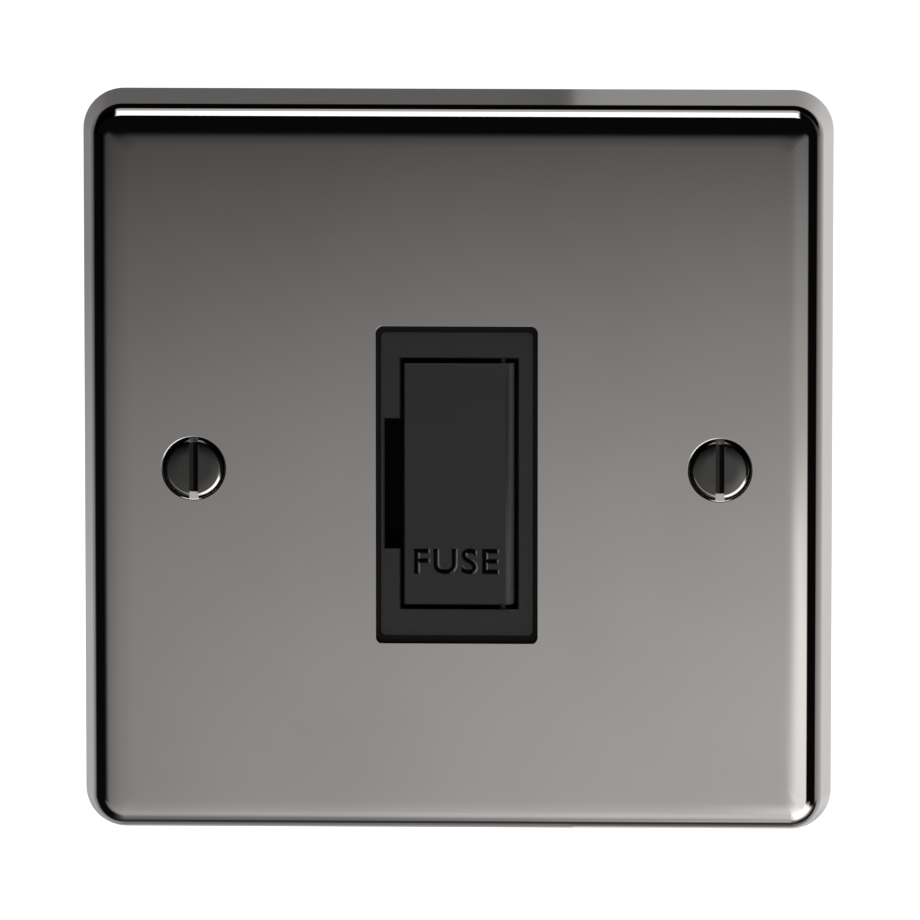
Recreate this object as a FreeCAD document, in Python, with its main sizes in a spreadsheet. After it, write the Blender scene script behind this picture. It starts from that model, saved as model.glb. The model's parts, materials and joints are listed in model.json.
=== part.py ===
import FreeCAD, Part
import math
import os
import Sketcher

# Fused connection unit for one fuse, single gang, to be screwed to a wall box.
# X runs to the right, Y into the wall and Z up, in millimetres.
# The origin is the middle of the plate's rim, in the plane of the wall.

SIZES = [
    ("plate_width", 86.0, "Front plate, over the rim"),
    ("plate_height", 86.0, "Front plate, over the rim"),
    ("plate_projection", 7.0, "Front face ahead of the wall"),
    ("plate_sheet", 1.2, "Thickness of the pressed sheet"),
    ("plate_corner", 4.7, "Corner radius seen from the front"),
    ("plate_edge", 2.2, "Round between the face and the side walls"),
    ("plate_draft", 12.0, "Slope of the side walls, in degrees"),
    ("fixing_spacing", 60.3, "Centres of the two fixing holes"),
    ("fixing_hole", 4.0, "Diameter of a fixing hole"),
    ("countersink", 7.2, "Diameter of the pressed cone at the face"),
    ("dimple_wall", 1.0, "Metal round the pressed cone"),
    ("window_corner", 0.8, "Corner radius of the window"),
    ("insert_drop", 1.9, "Middle of the insert below the fixing line"),
    ("window_gap_side", 0.4, "Gap between window and insert, left and right"),
    ("window_gap_end", 0.7, "Gap between window and insert, top and bottom"),
    ("insert_recess", 1.0, "Insert face behind the plate face"),
    ("insert_corner", 0.7, "Corner radius of the insert face"),
    ("insert_border_left", 2.4, "Insert face left of the carrier"),
    ("insert_border_right", 1.84, "Insert face right of the carrier"),
    ("insert_border_end", 3.15, "Insert face above and below the carrier"),
    ("flange_margin", 2.6, "Flange of the insert beyond the window"),
    ("flange_thickness", 1.5, "Flange behind the plate"),
    ("well_wall", 2.3, "Wall round the aperture"),
    ("well_reach", 3.1, "Well wall behind the flange"),
    ("notch_width", 1.8, "Finger notch, left of the carrier"),
    ("notch_height", 15.1, "Finger notch"),
    ("notch_floor", 0.5, "Finger notch, wall left behind it"),
    ("insert_edge", 0.15, "Bevel on the edges of the insert face"),
    ("soft_edge", 0.15, "Bevel on the carrier's front edges"),
    ("carrier_gap_free", 0.38, "Gap at the carrier's free edge"),
    ("carrier_gap_hinge", 0.43, "Gap at the carrier's hinged edge"),
    ("carrier_gap_end", 0.55, "Gap above and below the carrier"),
    ("carrier_proud", 0.2, "Carrier face ahead of the insert face"),
    ("carrier_thickness", 2.0, "Front wall of the carrier"),
    ("carrier_round", 1.0, "Round on the hinged front edge"),
    ("hinge_inset", 1.6, "Hinge axis in from the hinged edge"),
    ("hinge_depth", 1.6, "Hinge axis behind the carrier face"),
    ("trunnion", 1.8, "Diameter of the hinge stubs"),
    ("trunnion_grip", 1.1, "Length of a stub inside its socket"),
    ("trunnion_play", 0.08, "Radial clearance of a stub"),
    ("socket_spare", 0.3, "Socket beyond the stub's end"),
    ("free_margin", 0.51, "Aperture's far wall beyond the fuse cap's sweep"),
    ("sweep_play", 0.38, "Swept parts short of the aperture's far wall"),
    ("saddle_wall", 0.95, "Arms that hold the fuse barrel"),
    ("saddle_length", 3.2, "Arms along the fuse"),
    ("saddle_from_cap", 2.5, "Middle of each pair of arms, in from a cap's rim"),
    ("saddle_wrap", 0.9, "Arms past the middle of the fuse"),
    ("saddle_play", 0.05, "Clearance round the barrel"),
    ("cheek_thickness", 1.0, "End walls beyond the fuse caps"),
    ("cheek_play", 0.2, "Clearance at each end of the fuse"),
    ("cheek_margin", 0.1, "Front wall beyond the cheeks"),
    ("fuse_length", 25.4, "Cartridge fuse over its caps"),
    ("fuse_cap", 6.35, "Diameter over the caps"),
    ("fuse_barrel", 5.9, "Diameter of the ceramic barrel"),
    ("cap_length", 5.6, "Length of a cap"),
    ("cap_end", 0.4, "End wall of a cap"),
    ("cap_play", 0.02, "Radial clearance of the barrel in a cap"),
    ("fuse_reach", 6.8, "Fuse to the left of the hinge axis"),
    ("fuse_depth", 3.7, "Fuse behind the hinge axis"),
    ("clip_sheet", 0.5, "Spring strip of the fuse clips"),
    ("clip_width", 5.0, "Clip along the fuse"),
    ("clip_play", 0.2, "Clip clear of the cap"),
    ("clip_jaw", 12.0, "Reach of the jaws past the fuse, in degrees"),
    ("tail_width", 4.0, "Tail that runs under a terminal"),
    ("strip_short", 1.0, "Strips end inside the terminals' edges"),
    ("tray_cover", 4.2, "Tray walls behind the terminals"),
    ("housing_corner", 3.0, "Corner radius of the moulding"),
    ("housing_wall", 1.6, "Outer walls of the terminal tray"),
    ("barrier", 1.4, "Walls between the terminals"),
    ("barrier_step", 2.0, "Barriers short of the tray walls"),
    ("barrier_gap", 1.0, "Terminal block clear of a barrier"),
    ("well_space", 3.0, "Fuse well behind the clips"),
    ("well_floor", 2.0, "Wall between the fuse well and the tray"),
    ("well_play", 0.3, "Insert well clear of the moulding"),
    ("wire_notch", 6.4, "Width of the notches where wires come in"),
    ("terminal_width", 7.6, "Brass terminal block"),
    ("terminal_height", 9.0, "Brass terminal block"),
    ("terminal_depth", 7.0, "Brass terminal block"),
    ("terminal_gap", 1.6, "Terminal block clear of the shield"),
    ("terminal_space", 2.3, "Terminal block clear of the tray wall"),
    ("terminal_bore", 4.6, "Wire bore"),
    ("bore_front_wall", 1.1, "Metal ahead of the bore"),
    ("clamp_screw", 3.5, "Thread diameter of a clamp screw"),
    ("clamp_length", 4.9, "Shank of a clamp screw"),
    ("clamp_head", 5.4, "Head diameter of a clamp screw"),
    ("clamp_head_height", 1.8, "Head of a clamp screw"),
    ("clamp_stand_off", 0.2, "Screw tip clear of the bore, as supplied"),
    ("thread_play", 0.03, "Radial clearance of a screw in its hole"),
    ("slot_width", 1.0, "Screwdriver slots"),
    ("slot_depth", 0.9, "Screwdriver slots"),
    ("link_sheet", 0.8, "Neutral link and earth strap"),
    ("strap_gap", 0.8, "Strap's run clear of the earth blocks"),
    ("strap_space", 0.4, "Strap's run clear of the barriers"),
    ("strap_width", 3.8, "Earth strap's run"),
    ("strap_foot", 6.0, "Strap foot on the back of the plate"),
    ("shield_from", 4.0, "Shield behind the tray floor"),
    ("shield_sheet", 1.6, "Insulating shield over the strips"),
    ("strip_cover", 0.1, "Shield beyond the clip tails"),
    ("shield_play", 0.2, "Shield clear of the tray walls"),
    ("pillar", 5.0, "Six-sided pillar behind the plate, over its corners"),
    ("pillar_length", 7.3, "Pillar behind the plate"),
    ("boss_space", 0.4, "Boss clear of the strips"),
    ("boss_margin", 0.2, "Boss clear of the tray wall"),
    ("pillar_play", 0.15, "Radial clearance of a pillar"),
    ("boss", 5.8, "Boss round a housing screw"),
    ("housing_screw", 3.0, "Thread diameter of a housing screw"),
    ("housing_screw_reach", 5.0, "Thread inside a pillar"),
    ("housing_screw_head", 5.4, "Head diameter of a housing screw"),
    ("housing_screw_head_height", 1.7, "Head of a housing screw"),
    ("fixing_screw", 3.5, "Thread diameter of a fixing screw"),
    ("fixing_screw_head", 6.6, "Head diameter of a fixing screw"),
    ("fixing_screw_edge", 0.4, "Bevel round the face of its head"),
    ("fixing_screw_length", 25.0, "Fixing screw over all"),
    ("fixing_neck", 1.2, "Plain neck under the fixing screw's head"),
    ("fixing_neck_diameter", 3.1, "Diameter of the plain neck"),
]


# How far a cut runs past the faces that it opens.
OVERRUN = 1.0

# Angles about the hinge between which the carrier's arms are trimmed to their sweep, in degrees.
TRIM_START = 120
TRIM_END = 178


class Measure:
    """A length that carries its number and the sheet formula behind it."""

    def __init__(self, number, formula):
        self.number = float(number)
        self.formula = formula

    def joined(self, sign, other, number):
        return Measure(number, "(%s %s %s)" % (self.formula, sign, other.formula))

    def __add__(self, other):
        other = measure(other)
        return self.joined("+", other, self.number + other.number)

    def __sub__(self, other):
        other = measure(other)
        return self.joined("-", other, self.number - other.number)

    def __mul__(self, other):
        other = measure(other)
        return self.joined("*", other, self.number * other.number)

    def __truediv__(self, other):
        other = measure(other)
        return self.joined("/", other, self.number / other.number)

    def __neg__(self):
        return Measure(-self.number, "(0 - %s)" % self.formula)


def measure(value):
    if isinstance(value, Measure):
        return value
    return Measure(value, "(%r)" % float(value))


def cosine(angle):
    return Measure(math.cos(math.radians(angle.number)), "cos(%s)" % angle.formula)


def tangent(angle):
    return Measure(math.tan(math.radians(angle.number)), "tan(%s)" % angle.formula)


def root(value):
    return Measure(math.sqrt(value.number), "sqrt(%s)" % value.formula)


def write_sheet(doc):
    """Fill the sheet of driving sizes, one row for each."""
    sheet = doc.addObject("Spreadsheet::Sheet", "Sizes")
    for row, (alias, value, note) in enumerate(SIZES, start=1):
        sheet.set("A%d" % row, alias)
        sheet.set("B%d" % row, str(value))
        sheet.set("C%d" % row, note)
        sheet.setAlias("B%d" % row, alias)
    return sheet


DOC = FreeCAD.newDocument("fused_connection_unit")
SHEET = write_sheet(DOC)
DOC.recompute()


def size(alias):
    """The measure that a cell of the sheet holds."""
    return Measure(SHEET.get(alias), "Sizes." + alias)


def bind(thing, prop, value):
    thing.setExpression(prop, measure(value).formula)


def new_body(label):
    return DOC.addObject("PartDesign::Body", label)


def place(body, across, back, up):
    """Put a body at a place that follows the sheet."""
    bind(body, "Placement.Base.x", across)
    bind(body, "Placement.Base.y", back)
    bind(body, "Placement.Base.z", up)


def new_sketch(body, name, role, offset):
    sketch = body.newObject("Sketcher::SketchObject", name)
    plane = next(f for f in body.Origin.OriginFeatures if f.Role == role)
    sketch.AttachmentSupport = [(plane, "")]
    sketch.MapMode = "FlatFace"
    bind(sketch, "AttachmentOffset.Base.z", offset)
    return sketch


def hold(sketch, kind, line, point, value):
    """Fix one coordinate of a sketch point to the sheet."""
    constraint = Sketcher.Constraint(kind, -1, 1, line, point, value.number)
    index = sketch.addConstraint(constraint)
    sketch.setExpression("Constraints[%d]" % index, value.formula)


def hold_radius(sketch, curve, value):
    index = sketch.addConstraint(Sketcher.Constraint("Radius", curve, value.number))
    sketch.setExpression("Constraints[%d]" % index, value.formula)


def polygon(corners):
    """An outline through the given corners, each held by the sheet."""
    corners = [(measure(across), measure(up)) for across, up in corners]

    def draw(sketch):
        first = sketch.GeometryCount
        points = [FreeCAD.Vector(a.number, b.number, 0) for a, b in corners]
        for start, end in zip(points, points[1:] + points[:1]):
            sketch.addGeometry(Part.LineSegment(start, end), False)
        for step, (across, up) in enumerate(corners):
            line = first + step
            before = first + (step - 1) % len(corners)
            sketch.addConstraint(Sketcher.Constraint("Coincident", before, 2, line, 1))
            hold(sketch, "DistanceX", line, 1, across)
            hold(sketch, "DistanceY", line, 1, up)

    return draw


def rectangle(across, up):
    return polygon([(across[0], up[0]), (across[1], up[0]), (across[1], up[1]), (across[0], up[1])])


def rounded_rectangle(across, up, radius):
    """A rectangle with a quarter round at each corner."""
    radius = measure(radius)
    left, right = measure(across[0]), measure(across[1])
    low, high = measure(up[0]), measure(up[1])
    sides = [
        ((left + radius, low), (right - radius, low)),
        ((right, low + radius), (right, high - radius)),
        ((right - radius, high), (left + radius, high)),
        ((left, high - radius), (left, low + radius)),
    ]
    middles = [
        (right - radius, low + radius),
        (right - radius, high - radius),
        (left + radius, high - radius),
        (left + radius, low + radius),
    ]

    def draw(sketch):
        lines = []
        for ends in sides:
            points = [FreeCAD.Vector(a.number, b.number, 0) for a, b in ends]
            line = sketch.addGeometry(Part.LineSegment(*points), False)
            for point, (x, y) in zip((1, 2), ends):
                hold(sketch, "DistanceX", line, point, x)
                hold(sketch, "DistanceY", line, point, y)
            lines.append(line)
        for step, (x, y) in enumerate(middles):
            centre = FreeCAD.Vector(x.number, y.number, 0)
            whole = Part.Circle(centre, FreeCAD.Vector(0, 0, 1), radius.number)
            start = math.radians(90 * (step - 1))
            quarter = Part.ArcOfCircle(whole, start, start + math.pi / 2)
            arc = sketch.addGeometry(quarter, False)
            after = lines[(step + 1) % len(lines)]
            sketch.addConstraint(Sketcher.Constraint("Coincident", arc, 1, lines[step], 2))
            sketch.addConstraint(Sketcher.Constraint("Coincident", arc, 2, after, 1))
            hold_radius(sketch, arc, radius)

    return draw


def hexagon(radius):
    """A six-sided outline round the origin, its corners on a circle."""
    half, rise = radius / 2, radius * math.sin(math.radians(60))
    return polygon([(radius, 0), (half, rise), (-half, rise), (-radius, 0), (-half, -rise), (half, -rise)])


def circle(across, up, radius):
    across, up, radius = measure(across), measure(up), measure(radius)

    def draw(sketch):
        centre = FreeCAD.Vector(across.number, up.number, 0)
        round_line = Part.Circle(centre, FreeCAD.Vector(0, 0, 1), radius.number)
        curve = sketch.addGeometry(round_line, False)
        hold(sketch, "DistanceX", curve, 3, across)
        hold(sketch, "DistanceY", curve, 3, up)
        hold_radius(sketch, curve, radius)

    return draw


def ring_sector(across, up, inner, outer, start, end):
    """Part of a flat ring, between two angles in degrees."""
    across, up = measure(across), measure(up)

    def draw(sketch):
        centre = FreeCAD.Vector(across.number, up.number, 0)
        angles = [math.radians(start), math.radians(end)]
        arcs = []
        for radius in (inner, outer):
            whole = Part.Circle(centre, FreeCAD.Vector(0, 0, 1), radius.number)
            arcs.append(sketch.addGeometry(Part.ArcOfCircle(whole, *angles), False))
        for arc, radius in zip(arcs, (inner, outer)):
            hold(sketch, "DistanceX", arc, 3, across)
            hold(sketch, "DistanceY", arc, 3, up)
            hold_radius(sketch, arc, radius)
        for point, angle in zip((1, 2), angles):
            ray = FreeCAD.Vector(math.cos(angle), math.sin(angle), 0)
            edge = Part.LineSegment(centre + ray * inner.number, centre + ray * outer.number)
            line = sketch.addGeometry(edge, False)
            sketch.addConstraint(Sketcher.Constraint("Coincident", line, 1, arcs[0], point))
            sketch.addConstraint(Sketcher.Constraint("Coincident", line, 2, arcs[1], point))

    return draw


def add(body, name, role, span, *outlines):
    """Pad outlines between two coordinates along the plane's own axis."""
    low, high = measure(span[0]), measure(span[1])
    offset = -high if role == "XZ_Plane" else low
    sketch = new_sketch(body, name + "_outline", role, offset)
    for draw in outlines:
        draw(sketch)
    pad = body.newObject("PartDesign::Pad", name)
    pad.Profile = sketch
    bind(pad, "Length", high - low)
    return pad


def cut(body, name, role, span, *outlines):
    """Cut outlines out between two coordinates along the plane's own axis."""
    low, high = measure(span[0]), measure(span[1])
    offset = -low if role == "XZ_Plane" else high
    sketch = new_sketch(body, name + "_outline", role, offset)
    for draw in outlines:
        draw(sketch)
    pocket = body.newObject("PartDesign::Pocket", name)
    pocket.Profile = sketch
    bind(pocket, "Length", high - low)
    return pocket


def turn(body, name, kind, role, axis, corners):
    """Turn a half section about one of the body's own axes."""
    sketch = new_sketch(body, name + "_section", role, 0)
    polygon(corners)(sketch)
    turned = body.newObject("PartDesign::" + kind, name)
    turned.Profile = sketch
    turned.ReferenceAxis = (sketch, [axis])
    turned.Angle = 360
    return turned


def soften(body, name, radius, wanted):
    """Round the edges that a test picks out."""
    DOC.recompute()
    base = body.Tip
    names = ["Edge%d" % index for index, edge in enumerate(base.Shape.Edges, start=1) if wanted(edge)]
    fillet = body.newObject("PartDesign::Fillet", name)
    fillet.Base = (base, names)
    bind(fillet, "Radius", radius)
    DOC.recompute()
    return fillet


def bevel(body, name, width, wanted):
    """Bevel the edges that a test picks out."""
    DOC.recompute()
    base = body.Tip
    names = ["Edge%d" % index for index, edge in enumerate(base.Shape.Edges, start=1) if wanted(edge)]
    chamfer = body.newObject("PartDesign::Chamfer", name)
    chamfer.Base = (base, names)
    bind(chamfer, "Size", width)
    DOC.recompute()
    return chamfer


def near(value, target):
    return abs(value - target) < 0.001


def along(axis):
    """A test for straight edges that run along one axis."""
    def wanted(edge):
        box = edge.BoundBox
        lengths = {"X": box.XLength, "Y": box.YLength, "Z": box.ZLength}
        others = [lengths[other] for other in "XYZ" if other != axis]
        return lengths[axis] > 0.01 and max(others) < 0.001
    return wanted


def in_plane(depth):
    """A test for edges that lie in one plane across Y."""
    def wanted(edge):
        return near(edge.BoundBox.YMin, depth.number) and near(edge.BoundBox.YMax, depth.number)
    return wanted


def fuse_offset():
    """Distance of the fuse from the hinge axis."""
    reach, depth = size("fuse_reach"), size("fuse_depth")
    return root(reach * reach + depth * depth)


# The carrier is as long as the fuse and its cheeks, and as wide as the fuse's sweep.
CARRIER_HALF = (size("fuse_length") / 2 + size("cheek_play") + size("cheek_thickness")
                + size("cheek_margin"))
APERTURE_HALF = CARRIER_HALF + size("carrier_gap_end")
SWEEP = fuse_offset() + size("fuse_cap") / 2 + size("free_margin")
APERTURE_WIDTH = SWEEP + size("hinge_inset") + size("carrier_gap_hinge")
FACE_HALF_X = (APERTURE_WIDTH + size("insert_border_left") + size("insert_border_right")) / 2
FACE_HALF_Z = APERTURE_HALF + size("insert_border_end")
WINDOW_HALF_X = FACE_HALF_X + size("window_gap_side")
WINDOW_HALF_Z = FACE_HALF_Z + size("window_gap_end")
APERTURE_LEFT = -FACE_HALF_X + size("insert_border_left")
APERTURE_RIGHT = FACE_HALF_X - size("insert_border_right")

# Depths from the plate's face back to the insert, the carrier, the fuse and the terminals.
PLATE_FACE = -size("plate_projection")
PLATE_BACK = PLATE_FACE + size("plate_sheet")
INSERT_Z = -size("insert_drop")
INSERT_FACE = PLATE_FACE + size("insert_recess")
FLANGE_BACK = PLATE_BACK + size("flange_thickness")
WELL_BACK = FLANGE_BACK + size("well_reach")
CARRIER_FACE = INSERT_FACE - size("carrier_proud")
CARRIER_LEFT = APERTURE_LEFT + size("carrier_gap_free")
CARRIER_RIGHT = APERTURE_RIGHT - size("carrier_gap_hinge")
HINGE_X = CARRIER_RIGHT - size("hinge_inset")
HINGE_Y = CARRIER_FACE + size("hinge_depth")
FUSE_X = HINGE_X - size("fuse_reach")
FUSE_Y = HINGE_Y + size("fuse_depth")
CLIP_BACK = FUSE_Y + size("fuse_cap") / 2 + size("clip_play") + size("clip_sheet")
WELL_FLOOR = CLIP_BACK + size("well_space")
TRAY_FLOOR = WELL_FLOOR + size("well_floor")
STRIP_BACK = TRAY_FLOOR + size("link_sheet")
SHIELD_FRONT = TRAY_FLOOR + size("shield_from")
SHIELD_BACK = SHIELD_FRONT + size("shield_sheet")
TERMINAL_BACK = STRIP_BACK + size("terminal_depth")
BORE_Y = STRIP_BACK + size("bore_front_wall") + size("terminal_bore") / 2
HOUSING_REAR = TERMINAL_BACK + size("tray_cover")

# The rows and columns behind the plate, out from the insert's middle.
CLIP_Z = size("fuse_length") / 2 - size("cap_length") / 2
SHIELD_HALF = CLIP_Z + size("clip_width") / 2 + size("strip_cover")
TERMINAL_ROW = SHIELD_HALF + size("terminal_gap") + size("terminal_height") / 2
TOP_ROW = INSERT_Z + TERMINAL_ROW
BOTTOM_ROW = INSERT_Z - TERMINAL_ROW
TRAY_HALF_Z = TERMINAL_ROW + size("terminal_height") / 2 + size("terminal_space")
HOUSING_HALF_Z = TRAY_HALF_Z + size("housing_wall")
HOUSING_TOP = INSERT_Z + HOUSING_HALF_Z
HOUSING_BOTTOM = INSERT_Z - HOUSING_HALF_Z
STRAP_LEFT = size("terminal_width") / 2 + size("strap_gap")
BARRIER_X = STRAP_LEFT + size("strap_width") + size("strap_space") + size("barrier") / 2
TERMINAL_X = BARRIER_X + size("barrier") / 2 + size("barrier_gap") + size("terminal_width") / 2
PILLAR_X = TERMINAL_X + size("tail_width") / 2 + size("boss_space") + size("boss") / 2
TRAY_HALF_X = PILLAR_X + size("boss") / 2 + size("boss_margin")
HOUSING_HALF_X = TRAY_HALF_X + size("housing_wall")


def mirrored(half):
    return (-half, half)


def about(middle, half):
    return (middle - half, middle + half)


def front_plate():
    """Pressed sheet plate: sloping walls, round edge, window and two pressed cones."""
    body = new_body("front_plate")
    outline = rounded_rectangle(mirrored(size("plate_width") / 2),
                                mirrored(size("plate_height") / 2), size("plate_corner"))
    blank = add(body, "plate_blank", "XZ_Plane", (PLATE_FACE, 0), outline)
    bind(blank, "TaperAngle", -size("plate_draft"))
    soften(body, "plate_edge_outside", size("plate_edge"), in_plane(PLATE_FACE))

    sheet_across = size("plate_sheet") / cosine(size("plate_draft"))
    inset = -PLATE_BACK * tangent(size("plate_draft")) + sheet_across
    hollow = rounded_rectangle(mirrored(size("plate_width") / 2 - inset),
                               mirrored(size("plate_height") / 2 - inset),
                               size("plate_corner") - inset)
    hollow_cut = cut(body, "plate_hollow", "XZ_Plane", (PLATE_BACK, 0), hollow)
    bind(hollow_cut, "TaperAngle", size("plate_draft"))
    inside = (size("plate_edge") - size("plate_sheet")) / 2
    bevel(body, "plate_edge_inside", inside, in_plane(PLATE_BACK))

    window = rounded_rectangle(mirrored(WINDOW_HALF_X), about(INSERT_Z, WINDOW_HALF_Z),
                               size("window_corner"))
    cut(body, "window", "XZ_Plane", (PLATE_FACE - OVERRUN, PLATE_BACK + OVERRUN), window)

    cone_reach = (size("countersink") - size("fixing_hole")) / 2
    hole_radius = size("fixing_hole") / 2
    for side, sign in (("left", -1), ("right", 1)):
        middle = size("fixing_spacing") / 2 * sign
        collar = circle(middle, 0, hole_radius + size("dimple_wall"))
        collar_end = PLATE_FACE + cone_reach + size("dimple_wall") / 2
        collar_span = (PLATE_BACK - size("plate_sheet") / 2, collar_end)
        add(body, "dimple_" + side, "XZ_Plane", collar_span, collar)
        cone = cut(body, "cone_" + side, "XZ_Plane", (PLATE_FACE, PLATE_FACE + cone_reach),
                   circle(middle, 0, size("countersink") / 2))
        cone.TaperAngle = -45
        hole_span = (PLATE_FACE, collar_end + OVERRUN)
        cut(body, "hole_" + side, "XZ_Plane", hole_span, circle(middle, 0, hole_radius))
    return body


def insert_frame():
    """Moulded surround of the fuse carrier, with its flange, well and hinge sockets."""
    body = new_body("insert_frame")
    face = rounded_rectangle(mirrored(FACE_HALF_X), about(INSERT_Z, FACE_HALF_Z), size("insert_corner"))
    add(body, "insert_face", "XZ_Plane", (INSERT_FACE, FLANGE_BACK), face)
    flange = rectangle(mirrored(WINDOW_HALF_X + size("flange_margin")),
                       about(INSERT_Z, WINDOW_HALF_Z + size("flange_margin")))
    add(body, "flange", "XZ_Plane", (PLATE_BACK, FLANGE_BACK), flange)
    well = rectangle((APERTURE_LEFT - size("well_wall"), APERTURE_RIGHT + size("well_wall")),
                     about(INSERT_Z, APERTURE_HALF + size("well_wall")))
    add(body, "well", "XZ_Plane", (PLATE_BACK, WELL_BACK), well)
    aperture = rectangle((APERTURE_LEFT, APERTURE_RIGHT), about(INSERT_Z, APERTURE_HALF))
    cut(body, "aperture", "XZ_Plane", (INSERT_FACE - OVERRUN, WELL_BACK + OVERRUN), aperture)
    notch = rectangle((APERTURE_LEFT - size("notch_width"), APERTURE_LEFT + size("notch_width")),
                      about(INSERT_Z, size("notch_height") / 2))
    notch_span = (INSERT_FACE - OVERRUN, WELL_BACK - size("notch_floor"))
    cut(body, "finger_notch", "XZ_Plane", notch_span, notch)
    bevel(body, "insert_soft_edges", size("insert_edge"), in_plane(INSERT_FACE))
    socket_depth = size("trunnion_grip") + size("socket_spare")
    socket = circle(HINGE_X, HINGE_Y, size("trunnion") / 2 + size("trunnion_play"))
    top = INSERT_Z + APERTURE_HALF
    bottom = INSERT_Z - APERTURE_HALF
    cut(body, "upper_socket", "XY_Plane", (top - OVERRUN, top + socket_depth), socket)
    cut(body, "lower_socket", "XY_Plane", (bottom - socket_depth, bottom + OVERRUN), socket)
    return body


def fuse_carrier():
    """Swing-out holder: front wall, hinge stubs, end cheeks and two pairs of sprung arms."""
    body = new_body("fuse_carrier")
    back = CARRIER_FACE + size("carrier_thickness")
    swept = HINGE_X - APERTURE_LEFT - size("sweep_play")
    front = rectangle((CARRIER_LEFT, CARRIER_RIGHT), about(INSERT_Z, CARRIER_HALF))
    add(body, "front_wall", "XZ_Plane", (CARRIER_FACE, back), front)

    def hinged_edge(edge):
        place_x = near(edge.BoundBox.XMin, CARRIER_RIGHT.number)
        place_y = near(edge.BoundBox.YMax, CARRIER_FACE.number)
        return along("Z")(edge) and place_x and place_y

    def outer_edges(edge):
        seam = near(edge.BoundBox.XMin, (CARRIER_RIGHT - size("carrier_round")).number)
        return in_plane(CARRIER_FACE)(edge) and not seam

    soften(body, "hinged_edge", size("carrier_round"), hinged_edge)
    bevel(body, "carrier_soft_edges", size("soft_edge"), outer_edges)

    stub_reach = CARRIER_HALF + size("carrier_gap_end") + size("trunnion_grip")
    stub = circle(HINGE_X, HINGE_Y, size("trunnion") / 2)
    add(body, "hinge_stubs", "XY_Plane", about(INSERT_Z, stub_reach), stub)

    barrel_seat = size("fuse_barrel") / 2 + size("saddle_play")
    arm = barrel_seat + size("saddle_wall")
    cheek_inner = size("fuse_length") / 2 + size("cheek_play")
    lobe = rectangle((FUSE_X - arm, FUSE_X + arm), (back, FUSE_Y + size("saddle_wrap")))
    arms_from_middle = size("fuse_length") / 2 - size("cap_length") - size("saddle_from_cap")
    places = []
    for sign in (-1, 1):
        middle = INSERT_Z + arms_from_middle * sign
        places.append(("arms", about(middle, size("saddle_length") / 2)))
        outer = INSERT_Z + (cheek_inner + size("cheek_thickness")) * sign
        inner = INSERT_Z + cheek_inner * sign
        places.append(("cheek", (outer, inner) if sign < 0 else (inner, outer)))
    for number, (kind, span) in enumerate(places, start=1):
        add(body, "%s_%d" % (kind, number), "XY_Plane", span, lobe)
    seat_span = about(INSERT_Z, cheek_inner)
    cut(body, "barrel_seat", "XY_Plane", seat_span, circle(FUSE_X, FUSE_Y, barrel_seat))
    beyond = swept + size("saddle_wall") + OVERRUN
    trim = ring_sector(HINGE_X, HINGE_Y, swept, beyond, TRIM_START, TRIM_END)
    cut(body, "swept_trim", "XY_Plane", about(INSERT_Z, CARRIER_HALF), trim)
    return body


def fuse_pieces():
    """Cartridge fuse: ceramic barrel and two pressed caps."""
    barrel = new_body("fuse_barrel")
    barrel_half = size("fuse_length") / 2 - size("cap_end")
    add(barrel, "barrel_tube", "XY_Plane", mirrored(barrel_half), circle(0, 0, size("fuse_barrel") / 2))
    place(barrel, FUSE_X, FUSE_Y, INSERT_Z)
    made = [barrel]
    for name, sign in (("upper", 1), ("lower", -1)):
        cap = new_body("fuse_cap_" + name)
        outer = size("fuse_length") / 2 * sign
        rim = (size("fuse_length") / 2 - size("cap_length")) * sign
        floor = (size("fuse_length") / 2 - size("cap_end")) * sign
        whole = (rim, outer) if sign > 0 else (outer, rim)
        inside = (rim, floor) if sign > 0 else (floor, rim)
        add(cap, "cap_" + name, "XY_Plane", whole, circle(0, 0, size("fuse_cap") / 2))
        bore = circle(0, 0, size("fuse_barrel") / 2 + size("cap_play"))
        cut(cap, "cap_bore_" + name, "XY_Plane", inside, bore)
        place(cap, FUSE_X, FUSE_Y, INSERT_Z)
        made.append(cap)
    return made


def fuse_clip(label, sign, row):
    """Sprung strip clip: round seat, two jaws on arcs about the hinge, leg and tail."""
    body = new_body(label)
    middle = INSERT_Z + CLIP_Z * sign
    span = about(middle, size("clip_width") / 2)
    seat = size("fuse_cap") / 2 + size("clip_play")
    outer_seat = seat + size("clip_sheet")
    toward = 180 - math.degrees(math.atan2(size("fuse_depth").number, size("fuse_reach").number))
    jaw_end = toward + size("clip_jaw").number
    strips = [
        ("seat", ring_sector(FUSE_X, FUSE_Y, seat, outer_seat, toward - 180, toward)),
        ("outer_jaw", ring_sector(HINGE_X, HINGE_Y, fuse_offset() + seat, fuse_offset() + outer_seat,
                                  toward, jaw_end)),
        ("inner_jaw", ring_sector(HINGE_X, HINGE_Y, fuse_offset() - outer_seat, fuse_offset() - seat,
                                  toward, jaw_end)),
    ]
    for name, outline in strips:
        add(body, name, "XY_Plane", span, outline)
    half_sheet = size("clip_sheet") / 2
    tail_back = TRAY_FLOOR + size("clip_sheet")
    leg = rectangle((FUSE_X - half_sheet, FUSE_X + half_sheet), (FUSE_Y + seat, tail_back))
    add(body, "leg", "XY_Plane", span, leg)
    left = -TERMINAL_X - size("tail_width") / 2
    right = -TERMINAL_X + size("tail_width") / 2
    tail_end = row + (size("terminal_height") / 2 - size("strip_short")) * sign
    inner, outer = middle - size("clip_width") / 2 * sign, middle + size("clip_width") / 2 * sign
    tail = polygon([
        (FUSE_X + half_sheet, inner),
        (FUSE_X + half_sheet, outer),
        (right, outer),
        (right, tail_end),
        (left, tail_end),
        (left, inner),
    ])
    add(body, "tail", "XZ_Plane", (TRAY_FLOOR, tail_back), tail)
    return body


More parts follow.
